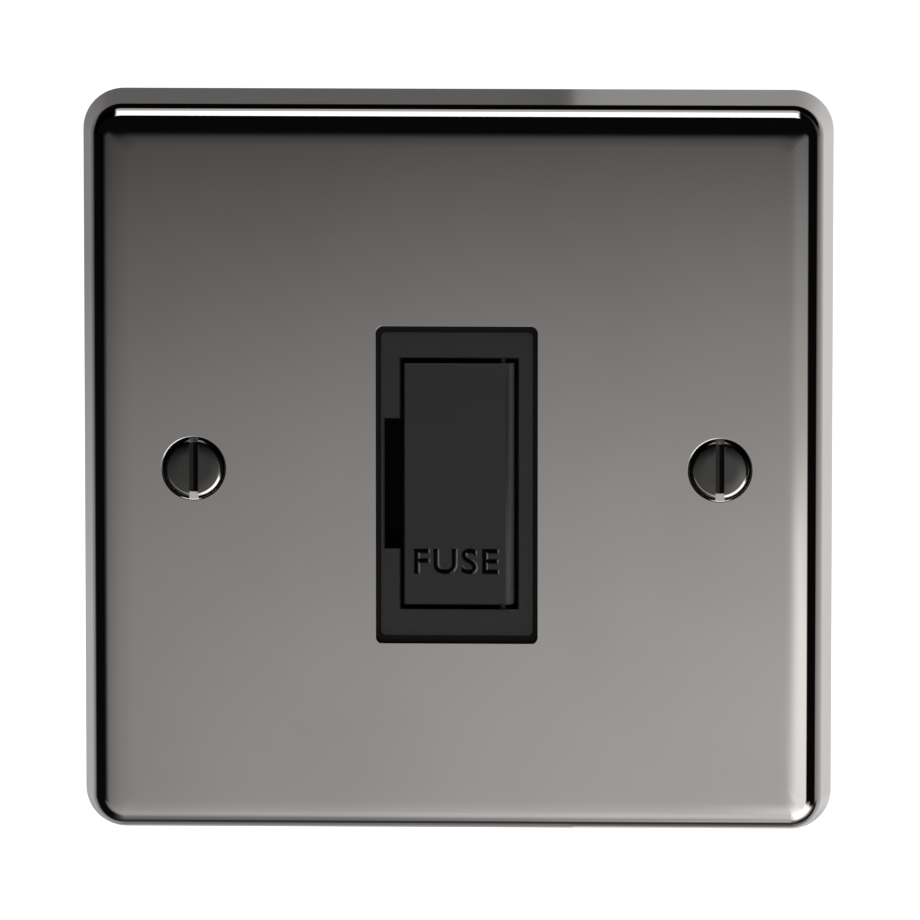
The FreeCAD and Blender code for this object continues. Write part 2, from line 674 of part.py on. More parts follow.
def base_housing():
    """Rear moulding: fuse well in front, terminal tray with barriers behind."""
    body = new_body("base_housing")
    block = rounded_rectangle(mirrored(HOUSING_HALF_X), (HOUSING_BOTTOM, HOUSING_TOP),
                              size("housing_corner"))
    add(body, "moulding", "XZ_Plane", (FLANGE_BACK, HOUSING_REAR), block)

    play = size("well_play")
    seat_margin = size("well_wall") + play
    well_seat = rectangle((APERTURE_LEFT - seat_margin, APERTURE_RIGHT + seat_margin),
                          about(INSERT_Z, APERTURE_HALF + seat_margin))
    cut(body, "well_seat", "XZ_Plane", (FLANGE_BACK, WELL_BACK + play), well_seat)
    well = rectangle((APERTURE_LEFT - play, APERTURE_RIGHT + play), about(INSERT_Z, APERTURE_HALF + play))
    cut(body, "fuse_well", "XZ_Plane", (FLANGE_BACK, WELL_FLOOR), well)

    tray = rectangle(mirrored(TRAY_HALF_X), about(INSERT_Z, TRAY_HALF_Z))
    cut(body, "tray", "XZ_Plane", (TRAY_FLOOR, HOUSING_REAR), tray)

    half_barrier = size("barrier") / 2
    barrier_in = SHIELD_HALF + size("shield_play")
    rows = [(INSERT_Z + barrier_in, INSERT_Z + TRAY_HALF_Z),
            (INSERT_Z - TRAY_HALF_Z, INSERT_Z - barrier_in)]
    for row, reach in enumerate(rows, start=1):
        for side in (-1, 1):
            barrier = rectangle(about(BARRIER_X * side, half_barrier), reach)
            name = "barrier_%d_%s" % (row, "left" if side < 0 else "right")
            add(body, name, "XZ_Plane", (TRAY_FLOOR, HOUSING_REAR - size("barrier_step")), barrier)

    for side, sign in (("left", -1), ("right", 1)):
        middle = PILLAR_X * sign
        boss = circle(middle, INSERT_Z, size("boss") / 2)
        add(body, "boss_" + side, "XZ_Plane", (TRAY_FLOOR, SHIELD_FRONT), boss)
        socket = circle(middle, INSERT_Z, size("pillar") / 2 + size("pillar_play"))
        socket_end = PLATE_BACK + size("pillar_length") + size("well_play")
        cut(body, "pillar_socket_" + side, "XZ_Plane", (FLANGE_BACK, socket_end), socket)
        hole = circle(middle, INSERT_Z, size("housing_screw") / 2 + size("pillar_play"))
        cut(body, "screw_hole_" + side, "XZ_Plane", (FLANGE_BACK, SHIELD_FRONT), hole)

    for name, across in wire_places():
        notch_front = seat_of("live") + size("bore_front_wall") - size("shield_play")
        for row, reach in (("feed", (INSERT_Z + TRAY_HALF_Z - OVERRUN, HOUSING_TOP + OVERRUN)),
                           ("load", (HOUSING_BOTTOM - OVERRUN, INSERT_Z - TRAY_HALF_Z + OVERRUN))):
            notch = rectangle(about(across, size("wire_notch") / 2), reach)
            cut(body, "notch_%s_%s" % (row, name), "XZ_Plane", (notch_front, HOUSING_REAR), notch)

    leg_half = size("clip_sheet") / 2 + size("shield_play")
    for name, sign in (("feed", 1), ("load", -1)):
        middle = INSERT_Z + CLIP_Z * sign
        slot_half = size("clip_width") / 2 + size("shield_play")
        slot = rectangle(about(FUSE_X, leg_half), about(middle, slot_half))
        cut(body, "leg_slot_" + name, "XZ_Plane", (WELL_FLOOR - OVERRUN, TRAY_FLOOR), slot)

    strap_reach = (INSERT_Z + TRAY_HALF_Z - OVERRUN, HOUSING_TOP + OVERRUN)
    strap_slot = rectangle(strap_run(size("shield_play")), strap_reach)
    cut(body, "strap_slot", "XZ_Plane", (TRAY_FLOOR, HOUSING_REAR), strap_slot)
    return body


def wire_places():
    return (("live", -TERMINAL_X), ("earth", measure(0)), ("neutral", TERMINAL_X))


def strap_run(margin):
    return (STRAP_LEFT - margin, STRAP_LEFT + size("strap_width") + margin)


def terminals():
    """Six brass blocks, each with a wire bore and a tapped hole for its screw."""
    made = []
    for row_name, row in (("feed", TOP_ROW), ("load", BOTTOM_ROW)):
        for name, across in wire_places():
            body = new_body("%s_%s_terminal" % (row_name, name))
            tag = "%s_%s_" % (row_name, name)
            outline = rectangle(mirrored(size("terminal_width") / 2),
                                mirrored(size("terminal_height") / 2))
            add(body, tag + "block", "XZ_Plane", (0, size("terminal_depth")), outline)
            bore = circle(0, BORE_Y - STRIP_BACK, size("terminal_bore") / 2)
            bore_span = mirrored(size("terminal_height") / 2 + OVERRUN)
            cut(body, tag + "bore", "XY_Plane", bore_span, bore)
            tapped = circle(0, 0, size("clamp_screw") / 2 + size("thread_play"))
            tapped_span = (BORE_Y - STRIP_BACK, size("terminal_depth") + OVERRUN)
            cut(body, tag + "tapped_hole", "XZ_Plane", tapped_span, tapped)
            place(body, across, seat_of(name), row)
            made.append(body)
    return made


def seat_of(name):
    """Back face of the strip that a terminal stands on."""
    return TRAY_FLOOR + size("clip_sheet") if name == "live" else STRIP_BACK


def screw(label, shank, length, head, head_height):
    """A slotted screw along Y with its tip to the front, the head's underside at zero."""
    body = new_body(label)
    radius, head_radius = shank / 2, head / 2
    section = [
        (0, -length),
        (radius, -length),
        (radius, 0),
        (head_radius, 0),
        (head_radius, head_height),
        (0, head_height),
    ]
    turn(body, label + "_turned", "Revolution", "XY_Plane", "V_Axis", section)
    slot = rectangle(mirrored(size("slot_width") / 2), mirrored(head_radius + OVERRUN))
    slot_span = (head_height - size("slot_depth"), head_height + OVERRUN)
    cut(body, label + "_slot", "XZ_Plane", slot_span, slot)
    return body


def terminal_screws():
    made = []
    stand_off = size("terminal_bore") / 2 + size("clamp_stand_off")
    for row_name, row in (("feed", TOP_ROW), ("load", BOTTOM_ROW)):
        for name, across in wire_places():
            body = screw("%s_%s_screw" % (row_name, name), size("clamp_screw"), size("clamp_length"),
                         size("clamp_head"), size("clamp_head_height"))
            bore = seat_of(name) + BORE_Y - STRIP_BACK
            place(body, across, bore + stand_off + size("clamp_length"), row)
            made.append(body)
    return made


def flat_strip(label, outline, thickness):
    body = new_body(label)
    add(body, label + "_strip", "XZ_Plane", (TRAY_FLOOR, TRAY_FLOOR + thickness), outline)
    return body


def neutral_link():
    half = size("tail_width") / 2
    reach = TERMINAL_ROW + size("terminal_height") / 2 - size("strip_short")
    outline = rectangle(about(TERMINAL_X, half), about(INSERT_Z, reach))
    return flat_strip("neutral_link", outline, size("link_sheet"))


def earth_strap():
    """Strip under both earth terminals, bent forward over the moulding to the plate."""
    left, right = strap_run(0)
    sheet = size("link_sheet")
    arm = size("tail_width") / 2
    reach = -size("terminal_width") / 2 + size("strip_short")
    crest = HOUSING_TOP + sheet
    outline = polygon([
        (reach, TOP_ROW - arm),
        (left, TOP_ROW - arm),
        (left, BOTTOM_ROW + arm),
        (reach, BOTTOM_ROW + arm),
        (reach, BOTTOM_ROW - arm),
        (right, BOTTOM_ROW - arm),
        (right, crest),
        (left, crest),
        (left, TOP_ROW + arm),
        (reach, TOP_ROW + arm),
    ])
    body = flat_strip("earth_strap", outline, sheet)
    rise = rectangle((left, right), (HOUSING_TOP, crest))
    add(body, "strap_rise", "XZ_Plane", (PLATE_BACK, TRAY_FLOOR + sheet), rise)
    foot = rectangle((left, right), (HOUSING_TOP, HOUSING_TOP + size("strap_foot")))
    add(body, "strap_foot", "XZ_Plane", (PLATE_BACK, PLATE_BACK + sheet), foot)
    return body


def rear_shield():
    """Insulating plate over the live strips, held by the housing screws."""
    body = new_body("rear_shield")
    half = TRAY_HALF_X - size("shield_play")
    add(body, "shield_sheet", "XZ_Plane", (SHIELD_FRONT, SHIELD_BACK),
        rectangle(mirrored(half), about(INSERT_Z, SHIELD_HALF)))
    for side, sign in (("left", -1), ("right", 1)):
        hole = circle(PILLAR_X * sign, INSERT_Z, size("housing_screw") / 2 + size("pillar_play"))
        hole_span = (SHIELD_FRONT - OVERRUN, SHIELD_BACK + OVERRUN)
        cut(body, "shield_hole_" + side, "XZ_Plane", hole_span, hole)
    return body


def plate_fixings():
    """Pillars on the back of the plate, the screws in them and the wall-box screws."""
    made = []
    thread = size("thread_play")
    for side, sign in (("left", -1), ("right", 1)):
        pillar = new_body("plate_pillar_" + side)
        rod = hexagon(size("pillar") / 2)
        add(pillar, "pillar_rod_" + side, "XZ_Plane", (0, size("pillar_length")), rod)
        tapped_from = size("pillar_length") - size("housing_screw_reach") - size("well_play")
        tapped = circle(0, 0, size("housing_screw") / 2 + thread)
        cut(pillar, "pillar_thread_" + side, "XZ_Plane", (tapped_from, size("pillar_length")), tapped)
        place(pillar, PILLAR_X * sign, PLATE_BACK, INSERT_Z)
        pillar_end = PLATE_BACK + size("pillar_length")
        length = SHIELD_BACK - pillar_end + size("housing_screw_reach")
        held = screw("housing_screw_" + side, size("housing_screw"), length, size("housing_screw_head"),
                     size("housing_screw_head_height"))
        place(held, PILLAR_X * sign, SHIELD_BACK, INSERT_Z)
        made += [pillar, held]
    return made


def fixing_screws():
    """Countersunk screws that hold the unit to a wall box, heads to the front."""
    made = []
    head_radius = size("fixing_screw_head") / 2
    edge = size("fixing_screw_edge")
    radius = size("fixing_screw") / 2
    tip = size("fixing_screw_length")
    neck_radius = size("fixing_neck_diameter") / 2
    cone_end = edge + head_radius - neck_radius
    cone_depth = (size("countersink") - size("fixing_screw_head")) / 2
    head_face = PLATE_FACE + cone_depth - edge - size("thread_play")
    for side, sign in (("left", -1), ("right", 1)):
        body = new_body("fixing_screw_" + side)
        name = "fixing_" + side
        section = [
            (0, 0),
            (head_radius - edge, 0),
            (head_radius, edge),
            (neck_radius, cone_end),
            (neck_radius, cone_end + size("fixing_neck")),
            (radius, cone_end + size("fixing_neck")),
            (radius, tip),
            (0, tip),
        ]
        turn(body, name + "_turned", "Revolution", "XY_Plane", "V_Axis", section)
        slot = rectangle(mirrored(size("slot_width") / 2), mirrored(head_radius + OVERRUN))
        cut(body, name + "_slot", "XZ_Plane", (-OVERRUN, size("slot_depth")), slot)
        place(body, size("fixing_spacing") / 2 * sign, head_face, 0)
        made.append(body)
    return made


def check_document():
    """Stop if a feature failed or a cut missed its solid."""
    for thing in DOC.Objects:
        if "Invalid" in thing.State or "Error" in thing.State:
            raise RuntimeError("%s failed" % thing.Name)
        if thing.TypeId == "PartDesign::Pocket":
            before = thing.BaseFeature.Shape.Volume
            if thing.Shape.Volume >= before:
                raise RuntimeError("%s cuts nothing" % thing.Name)


def main():
    bodies = [front_plate(), insert_frame(), fuse_carrier()]
    bodies += fuse_pieces()
    bodies.append(fuse_clip("feed_fuse_clip", 1, TOP_ROW))
    bodies.append(fuse_clip("load_fuse_clip", -1, BOTTOM_ROW))
    bodies.append(base_housing())
    bodies += terminals()
    bodies += terminal_screws()
    bodies += [neutral_link(), earth_strap(), rear_shield()]
    bodies += plate_fixings()
    bodies += fixing_screws()
    DOC.recompute()
    check_document()
    os.makedirs("parts", exist_ok=True)
    for body in bodies:
        shape = body.Shape
        if shape.isNull() or not shape.isValid() or len(shape.Solids) != 1:
            raise RuntimeError("%s is not one sound solid" % body.Label)
        shape.exportStep("parts/%s.step" % body.Label)
        box = shape.BoundBox
        print("%-24s %9.1f mm3  y %.2f to %.2f" % (body.Label, shape.Volume, box.YMin, box.YMax))


main()
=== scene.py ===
"""Dresses the fused connection unit: fine meshes, finishes, studio and camera.

Lengths are in metres, and a field whose name ends in _mm is in millimetres. X runs to the right,
Y into the wall and Z up. The origin is the middle of the plate's rim, in the plane of the wall.
"""

import json
import logging
import math
from dataclasses import dataclass, field
from enum import Enum
from typing import Optional, Sequence

import bmesh
import bpy
from mathutils import Matrix, Vector
from mathutils.geometry import tessellate_polygon


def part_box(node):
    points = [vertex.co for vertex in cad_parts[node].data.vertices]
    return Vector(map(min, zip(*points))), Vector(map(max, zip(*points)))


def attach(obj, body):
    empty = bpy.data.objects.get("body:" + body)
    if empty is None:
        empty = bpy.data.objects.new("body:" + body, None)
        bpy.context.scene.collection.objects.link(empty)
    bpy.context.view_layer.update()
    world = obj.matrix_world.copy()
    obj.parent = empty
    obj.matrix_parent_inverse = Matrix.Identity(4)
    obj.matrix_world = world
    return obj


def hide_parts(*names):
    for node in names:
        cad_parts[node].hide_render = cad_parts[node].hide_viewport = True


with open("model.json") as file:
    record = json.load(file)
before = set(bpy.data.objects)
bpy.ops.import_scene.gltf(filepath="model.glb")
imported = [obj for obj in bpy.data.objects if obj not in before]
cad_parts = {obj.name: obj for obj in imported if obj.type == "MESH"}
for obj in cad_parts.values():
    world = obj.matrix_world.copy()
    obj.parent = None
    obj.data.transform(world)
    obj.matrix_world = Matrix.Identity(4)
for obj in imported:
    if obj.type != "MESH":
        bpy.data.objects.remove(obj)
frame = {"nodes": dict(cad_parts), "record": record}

LOG = logging.getLogger("fused_connection_unit")
MM = 0.001
FULL_TURN = 2.0 * math.pi
CRISP_DEGREES = 35.0
OUTWARD = Vector((0.0, -1.0, 0.0))
INWARD = Vector((0.0, 1.0, 0.0))
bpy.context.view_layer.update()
SLOTS = {row["node"]: row["material_slot"] for row in frame["record"]["subparts"]}

Corner = tuple[Vector, Vector]
Ring = list[Corner]
Colour = tuple[float, float, float]


class Body(Enum):
    """The two bodies that pieces ride on."""

    UNIT = "unit"
    CARRIER = "carrier"


# Node trees


class Tree:
    """Short ways to add and join shader nodes in one tree."""

    def __init__(self, nodes: bpy.types.NodeTree) -> None:
        """Keeps the tree.

        Args:
            nodes: The material's, world's or group's node tree.
        """
        self.tree = nodes

    def add(self, kind: str, **settings: object) -> bpy.types.Node:
        """Adds one node.

        Args:
            kind: The node's type name.
            **settings: Attributes of the node.

        Returns:
            The new node.
        """
        node = self.tree.nodes.new(kind)
        for name, value in settings.items():
            setattr(node, name, value)
        return node

    def join(self, start: bpy.types.NodeSocket, end: bpy.types.NodeSocket) -> None:
        """Links an output to an input."""
        self.tree.links.new(start, end)

    def feed(self, socket: bpy.types.NodeSocket, value: object) -> None:
        """Sets a socket to a plain value, or links it if the value is a socket."""
        if isinstance(value, bpy.types.NodeSocket):
            self.join(value, socket)
        else:
            socket.default_value = value

    def sum(self, kind: str, first: object, second: object = 0.0, clamp: bool = False) -> bpy.types.NodeSocket:
        """Adds a Math node.

        Args:
            kind: The operation's name.
            first: A number or a socket.
            second: A number or a socket.
            clamp: True to keep the result between 0 and 1.

        Returns:
            The result's socket.
        """
        node = self.add("ShaderNodeMath", operation=kind, use_clamp=clamp)
        self.feed(node.inputs[0], first)
        self.feed(node.inputs[1], second)
        return node.outputs[0]

    def spread(self, value: object, low: float, high: float, start: float = 0.0, end: float = 1.0,
               smooth: bool = True) -> bpy.types.NodeSocket:
        """Maps a value from one range to another, clamped.

        Args:
            value: The socket that varies.
            low: The value that gives start.
            high: The value that gives end.
            start: The result at low.
            end: The result at high.
            smooth: True for eased ends.

        Returns:
            The result's socket.
        """
        node = self.add("ShaderNodeMapRange", clamp=True)
        node.interpolation_type = "SMOOTHSTEP" if smooth else "LINEAR"
        for socket, number in zip(node.inputs[:5], (value, low, high, start, end)):
            self.feed(socket, number)
        return node.outputs[0]

    def times(self, first: object, *more: object) -> bpy.types.NodeSocket:
        """Multiplies numbers and sockets together."""
        for value in more:
            first = self.sum("MULTIPLY", first, value)
        return first

    def less(self, first: object, second: object) -> bpy.types.NodeSocket:
        """Takes the second number or socket from the first."""
        return self.sum("SUBTRACT", first, second)

    def toward(self, level: object, goal: object, mask: object) -> bpy.types.NodeSocket:
        """Moves a level to a goal as far as the mask says."""
        return self.sum("ADD", level, self.times(self.less(goal, level), mask))

    def degrees(self, kind: str, first: object, second: object = 0.0) -> bpy.types.NodeSocket:
        """Angle in degrees that an inverse function of trigonometry gives."""
        return self.times(self.sum(kind, first, second), 180.0 / math.pi)

    def parts(self, vector: bpy.types.NodeSocket) -> Sequence[bpy.types.NodeSocket]:
        """Splits a vector into X, Y and Z."""
        node = self.add("ShaderNodeSeparateXYZ")
        self.join(vector, node.inputs[0])
        return node.outputs

    def place(self) -> bpy.types.NodeSocket:
        """Position of the shaded point in its object."""
        return self.add("ShaderNodeTexCoord").outputs["Object"]

    def facing(self) -> Sequence[bpy.types.NodeSocket]:
        """X, Y and Z of the surface's normal."""
        return self.parts(self.add("ShaderNodeNewGeometry").outputs["Normal"])

    def noise(self, where: bpy.types.NodeSocket, scale: object, detail: float = 3.0) -> bpy.types.NodeSocket:
        """Adds a noise texture and returns its factor."""
        node = self.add("ShaderNodeTexNoise")
        self.join(where, node.inputs["Vector"])
        self.feed(node.inputs["Scale"], scale)
        node.inputs["Detail"].default_value = detail
        return node.outputs[0]

    def tint(self, factor: object, first: object, second: object) -> bpy.types.NodeSocket:
        """Mixes two colours.

        Args:
            factor: How much of the second colour shows.
            first: A colour or a socket.
            second: A colour or a socket.

        Returns:
            The mixed colour's socket.
        """
        node = self.add("ShaderNodeMix", data_type="RGBA")
        self.feed(node.inputs[0], factor)
        for socket, colour in ((node.inputs[6], first), (node.inputs[7], second)):
            self.feed(socket, colour if isinstance(colour, bpy.types.NodeSocket) else (*colour, 1.0))
        return node.outputs[2]


class Effect(Enum):
    """Effects that several finishes share, each a node group."""

    GRAIN = "moulded_grain"
    HANDLING = "handling_marks"
    ROLLED = "rolled_lines"


class EffectShelf:
    """Builds each shared effect once."""

    def __init__(self) -> None:
        """Builds every group."""
        self.groups = {
            Effect.GRAIN: self.grain(),
            Effect.HANDLING: self.handling(),
            Effect.ROLLED: self.rolled(),
        }

    @staticmethod
    def start(effect: Effect, inputs: dict[str, float], outputs: Sequence[str]) -> tuple[Tree, dict, dict]:
        """Starts a group with number sockets.

        Args:
            effect: The effect, which names the group.
            inputs: Each input with its default.
            outputs: The outputs' names.

        Returns:
            The tree, its input sockets by name and its output sockets by name.
        """
        group = bpy.data.node_groups.new(effect.value, "ShaderNodeTree")
        for name, value in inputs.items():
            socket = group.interface.new_socket(name=name, in_out="INPUT", socket_type="NodeSocketFloat")
            socket.default_value = value
        for name in outputs:
            group.interface.new_socket(name=name, in_out="OUTPUT", socket_type="NodeSocketFloat")
        tree = Tree(group)
        entry = tree.add("NodeGroupInput")
        leave = tree.add("NodeGroupOutput")
        return tree, {s.name: s for s in entry.outputs}, {s.name: s for s in leave.inputs}

    def grain(self) -> bpy.types.NodeTree:
        """Fine spark-eroded texture of moulded plastic, with slow flow marks."""
        tree, entry, leave = self.start(Effect.GRAIN, {"Scale": 5000.0}, ("Height", "Flow"))
        where = tree.place()
        fine = tree.noise(where, entry["Scale"], 2.0)
        coarse = tree.noise(where, tree.times(entry["Scale"], 0.35), 2.0)
        tree.join(tree.sum("ADD", tree.times(fine, 0.6), tree.times(coarse, 0.4)), leave["Height"])
        tree.join(tree.spread(tree.noise(where, 90.0, 2.0), 0.3, 0.7), leave["Flow"])
        return tree.tree

    def handling(self) -> bpy.types.NodeTree:
        """Faint smears of handled metal."""
        tree, entry, leave = self.start(Effect.HANDLING, {"Scale": 1.0}, ("Smear",))
        smear = tree.noise(tree.place(), tree.times(entry["Scale"], 45.0), 4.0)
        tree.join(tree.spread(smear, 0.35, 0.75), leave["Smear"])
        return tree.tree

    def rolled(self) -> bpy.types.NodeTree:
        """Long lines that rolling or drawing leaves along metal strip."""
        tree, entry, leave = self.start(Effect.ROLLED, {"Across": 3000.0, "Along": 60.0}, ("Lines", "Stain"))
        where = tree.place()
        pull = tree.add("ShaderNodeCombineXYZ")
        for axis, stretch in (("X", "Across"), ("Y", "Across"), ("Z", "Along")):
            tree.join(entry[stretch], pull.inputs[axis])
        placed = tree.add("ShaderNodeVectorMath", operation="MULTIPLY")
        tree.join(where, placed.inputs[0])
        tree.join(pull.outputs[0], placed.inputs[1])
        tree.join(tree.noise(placed.outputs[0], 1.0, 3.0), leave["Lines"])
        tree.join(tree.spread(tree.noise(where, 220.0, 4.0), 0.4, 0.75), leave["Stain"])
        return tree.tree

    def use(self, tree: Tree, effect: Effect, **values: float) -> dict[str, bpy.types.NodeSocket]:
        """Places an effect in a material.

        Args:
            tree: The material's tree.
            effect: The effect wanted.
            **values: Values for the group's inputs.

        Returns:
            The group's output sockets by name.
        """
        node = tree.add("ShaderNodeGroup", node_tree=self.groups[effect])
        for name, value in values.items():
            node.inputs[name].default_value = value
        return {socket.name: socket for socket in node.outputs}


# Finishes


HEIGHT_RANGE = (0.3, 0.7)


def new_material(name: str) -> tuple[bpy.types.Material, Tree, bpy.types.Node]:
    """Makes a material with its Principled shader.

    Args:
        name: The material's name.

    Returns:
        The material, its tree and the shader node.
    """
    made = bpy.data.materials.new(name)
    made.use_nodes = True
    tree = Tree(made.node_tree)
    return made, tree, made.node_tree.nodes["Principled BSDF"]


def relief(tree: Tree, shader: bpy.types.Node, height: bpy.types.NodeSocket, strength: float,
           distance_mm: float) -> None:
    """Lets a height drive the shader's normal.

    Args:
        tree: The material's tree.
        shader: The Principled shader.
        height: The height's socket.
        strength: The bump's strength.
        distance_mm: The bump's full height.
    """
    bump = tree.add("ShaderNodeBump")
    bump.inputs["Strength"].default_value = strength
    bump.inputs["Distance"].default_value = distance_mm * MM
    tree.join(height, bump.inputs["Height"])
    tree.join(bump.outputs[0], shader.inputs["Normal"])


@dataclass(frozen=True)
class PolishedPlating:
    """Mirror plating with faint smears."""

    name: str
    colour: Colour
    smeared: Colour
    roughness: float
    smear_roughness: float

    def make(self, shelf: EffectShelf) -> bpy.types.Material:
        """Builds the material."""
        made, tree, shader = new_material(self.name)
        marks = shelf.use(tree, Effect.HANDLING, Scale=1.0)
        tree.join(tree.tint(marks["Smear"], self.colour, self.smeared), shader.inputs["Base Color"])
        shader.inputs["Metallic"].default_value = 1.0
        rough = tree.spread(marks["Smear"], 0.0, 1.0, self.roughness, self.smear_roughness, False)
        tree.join(rough, shader.inputs["Roughness"])
        return made


@dataclass(frozen=True)
class PlatingWithPaintedLight:
    """Dark plating with a painted highlight low on the round of a screw's head and painted shade down in its slot.

    The round is where the normal's Y leaves round_facing, and low where its Z falls through
    low_facing. The slot lies between the depths of slot_mm. Its right half has the darker painted shade, from
    edge_mm left of the middle of each head, and the heads stand spacing_mm apart.
    """

    name: str
    colour: Colour
    painted_highlight: Colour
    dim: Colour
    painted_slot_shade: Colour
    roughness: float
    highlight_band_roughness: float
    slot_mm: tuple[float, float, float, float]
    spacing_mm: float
    edge_mm: float = 0.15
    round_facing: tuple[float, float] = (0.995, 0.93)
    low_facing: tuple[float, float] = (0.3, 0.0)
    smear: float = 0.85

    def make(self, shelf: EffectShelf) -> bpy.types.Material:
        """Builds the material."""
        made, tree, shader = new_material(self.name)
        # Painted highlight: the low part of the head's round is tinted light, as if it mirrored a bright light.
        _, outward, upward = tree.facing()
        low_round = tree.times(tree.spread(tree.sum("ABSOLUTE", outward), *self.round_facing),
                               tree.spread(upward, *self.low_facing))
        # Painted shade: the slot is tinted dark, darker in the right half of each head.
        across, back, _ = tree.parts(tree.place())
        start, full, fade, end = (value * MM for value in self.slot_mm)
        inside = tree.times(tree.spread(back, start, full), tree.spread(back, end, fade))
        spacing = self.spacing_mm * MM
        across = tree.sum("FLOORED_MODULO", tree.sum("ADD", across, spacing), spacing)
        right = tree.spread(across, spacing / 2.0 - self.edge_mm * MM, spacing / 2.0)
        painted_slot_shade = tree.tint(right, self.dim, self.painted_slot_shade)
        marks = shelf.use(tree, Effect.HANDLING, Scale=3.0)
        plain = tree.tint(marks["Smear"], self.colour, [value * self.smear for value in self.colour])
        with_painted_highlight = tree.tint(low_round, plain, self.painted_highlight)
        tree.join(tree.tint(inside, with_painted_highlight, painted_slot_shade), shader.inputs["Base Color"])
        shader.inputs["Metallic"].default_value = 1.0
        rough = tree.spread(low_round, 0.0, 1.0, self.roughness, self.highlight_band_roughness, False)
        tree.join(rough, shader.inputs["Roughness"])
        return made


@dataclass(frozen=True)
class WallGlint:
    """Painted light: a lighter colour on walls that face one way along X, beyond one place along X, as if they caught
    light.
    """

    colour: Colour
    facing: tuple[float, float]
    beyond_mm: tuple[float, float]
    dims: bool


@dataclass(frozen=True)
class MouldedPlastic:
    """Moulded plastic with a fine texture.

    The painted shade, if there is one, darkens recesses: it grows from one depth to another and leaves
    a part of the colour and of the shine. The lag makes it start deeper to the right of a place. The
    glints are painted highlights, and those that don't dim with the painted shade fade over glint_mm from where the
    painted shade starts.
    """

    name: str
    colour: Colour
    flow_colour: Colour
    roughness: float
    roughness_spread: float
    texture: float
    specular: float = 0.5
    grain_scale: float = 5000.0
    painted_shade_mm: Optional[tuple[float, float]] = None
    painted_shade_colour: float = 0.15
    painted_shade_shine: float = 0.1
    lag_mm: Optional[tuple[float, float]] = None
    lag_edge_mm: float = 0.3
    glints: tuple[WallGlint, ...] = ()
    glint_mm: float = 0.5

    def shaded(self, tree: Tree, shader: bpy.types.Node, colour: bpy.types.NodeSocket) -> bpy.types.NodeSocket:
        """Paints shade into the depths and paints in the glints as highlights.

        Args:
            tree: The material's tree.
            shader: The Principled shader, whose shine is dimmed.
            colour: The plain colour.

        Returns:
            The shaded colour.
        """
        across, back, _ = tree.parts(tree.place())
        near, far = (value * MM for value in self.painted_shade_mm)
        depth = back
        if self.lag_mm is not None:
            start, lag = (value * MM for value in self.lag_mm)
            held = tree.spread(across, start - self.lag_edge_mm * MM, start, 0.0, lag)
            depth = tree.less(back, held)
        # Painted shade: colour and shine darken with depth behind the face.
        light = tree.spread(depth, near, far, 1.0, 0.0)
        colour = tree.tint(light, [value * self.painted_shade_colour for value in self.colour], colour)
        shine = tree.spread(light, 0.0, 1.0, self.specular * self.painted_shade_shine, self.specular, False)
        tree.join(shine, shader.inputs["Specular IOR Level"])
        # Painted highlights: walls that face one way are tinted lighter.
        for glint in self.glints:
            mask = tree.times(tree.spread(tree.facing()[0], *glint.facing),
                              tree.spread(across, *(value * MM for value in glint.beyond_mm)))
            front = light if glint.dims else tree.spread(back, near + self.glint_mm * MM, near)
            colour = tree.tint(tree.times(mask, front), colour, glint.colour)
        return colour

    def make(self, shelf: EffectShelf) -> bpy.types.Material:
        """Builds the material."""
        made, tree, shader = new_material(self.name)
        grain = shelf.use(tree, Effect.GRAIN, Scale=self.grain_scale)
        colour = tree.tint(grain["Flow"], self.colour, self.flow_colour)
        if self.painted_shade_mm is None:
            shader.inputs["Specular IOR Level"].default_value = self.specular
        else:
            colour = self.shaded(tree, shader, colour)
        tree.join(colour, shader.inputs["Base Color"])
        low, high = self.roughness, self.roughness + self.roughness_spread
        tree.join(tree.spread(grain["Height"], *HEIGHT_RANGE, low, high, False), shader.inputs["Roughness"])
        relief(tree, shader, grain["Height"], self.texture, 0.02)
        return made


@dataclass(frozen=True)
class StripMetal:
    """Rolled or drawn bare metal with lines along it and a light stain."""

    name: str
    colour: Colour
    stained: Colour
    roughness: float
    line_depth: float
    along: float = 60.0
    line_roughness: float = 0.14
    smear_roughness: float = 0.08

    def make(self, shelf: EffectShelf) -> bpy.types.Material:
        """Builds the material."""
        made, tree, shader = new_material(self.name)
        lines = shelf.use(tree, Effect.ROLLED, Along=self.along)
        marks = shelf.use(tree, Effect.HANDLING, Scale=2.0)
        tree.join(tree.tint(lines["Stain"], self.colour, self.stained), shader.inputs["Base Color"])
        shader.inputs["Metallic"].default_value = 1.0
        low, high = self.roughness, self.roughness + self.line_roughness
        rough = tree.spread(lines["Lines"], *HEIGHT_RANGE, low, high, False)
        tree.join(tree.sum("ADD", rough, tree.times(marks["Smear"], self.smear_roughness)),
                  shader.inputs["Roughness"])
        relief(tree, shader, lines["Lines"], self.line_depth, 0.01)
        return made


@dataclass(frozen=True)
class GlazedCeramic:
    """Off-white ceramic under a thin glaze."""

    name: str
    colour: Colour
    speck: Colour
    roughness: tuple[float, float] = (0.3, 0.42)
    glaze: float = 0.3

    def make(self, shelf: EffectShelf) -> bpy.types.Material:
        """Builds the material."""
        made, tree, shader = new_material(self.name)
        grain = shelf.use(tree, Effect.GRAIN, Scale=2600.0)
        tree.join(tree.tint(grain["Flow"], self.colour, self.speck), shader.inputs["Base Color"])
        tree.join(tree.spread(grain["Height"], *HEIGHT_RANGE, *self.roughness, False), shader.inputs["Roughness"])
        shader.inputs["Coat Weight"].default_value = self.glaze
        relief(tree, shader, grain["Height"], 0.12, 0.02)
        return made


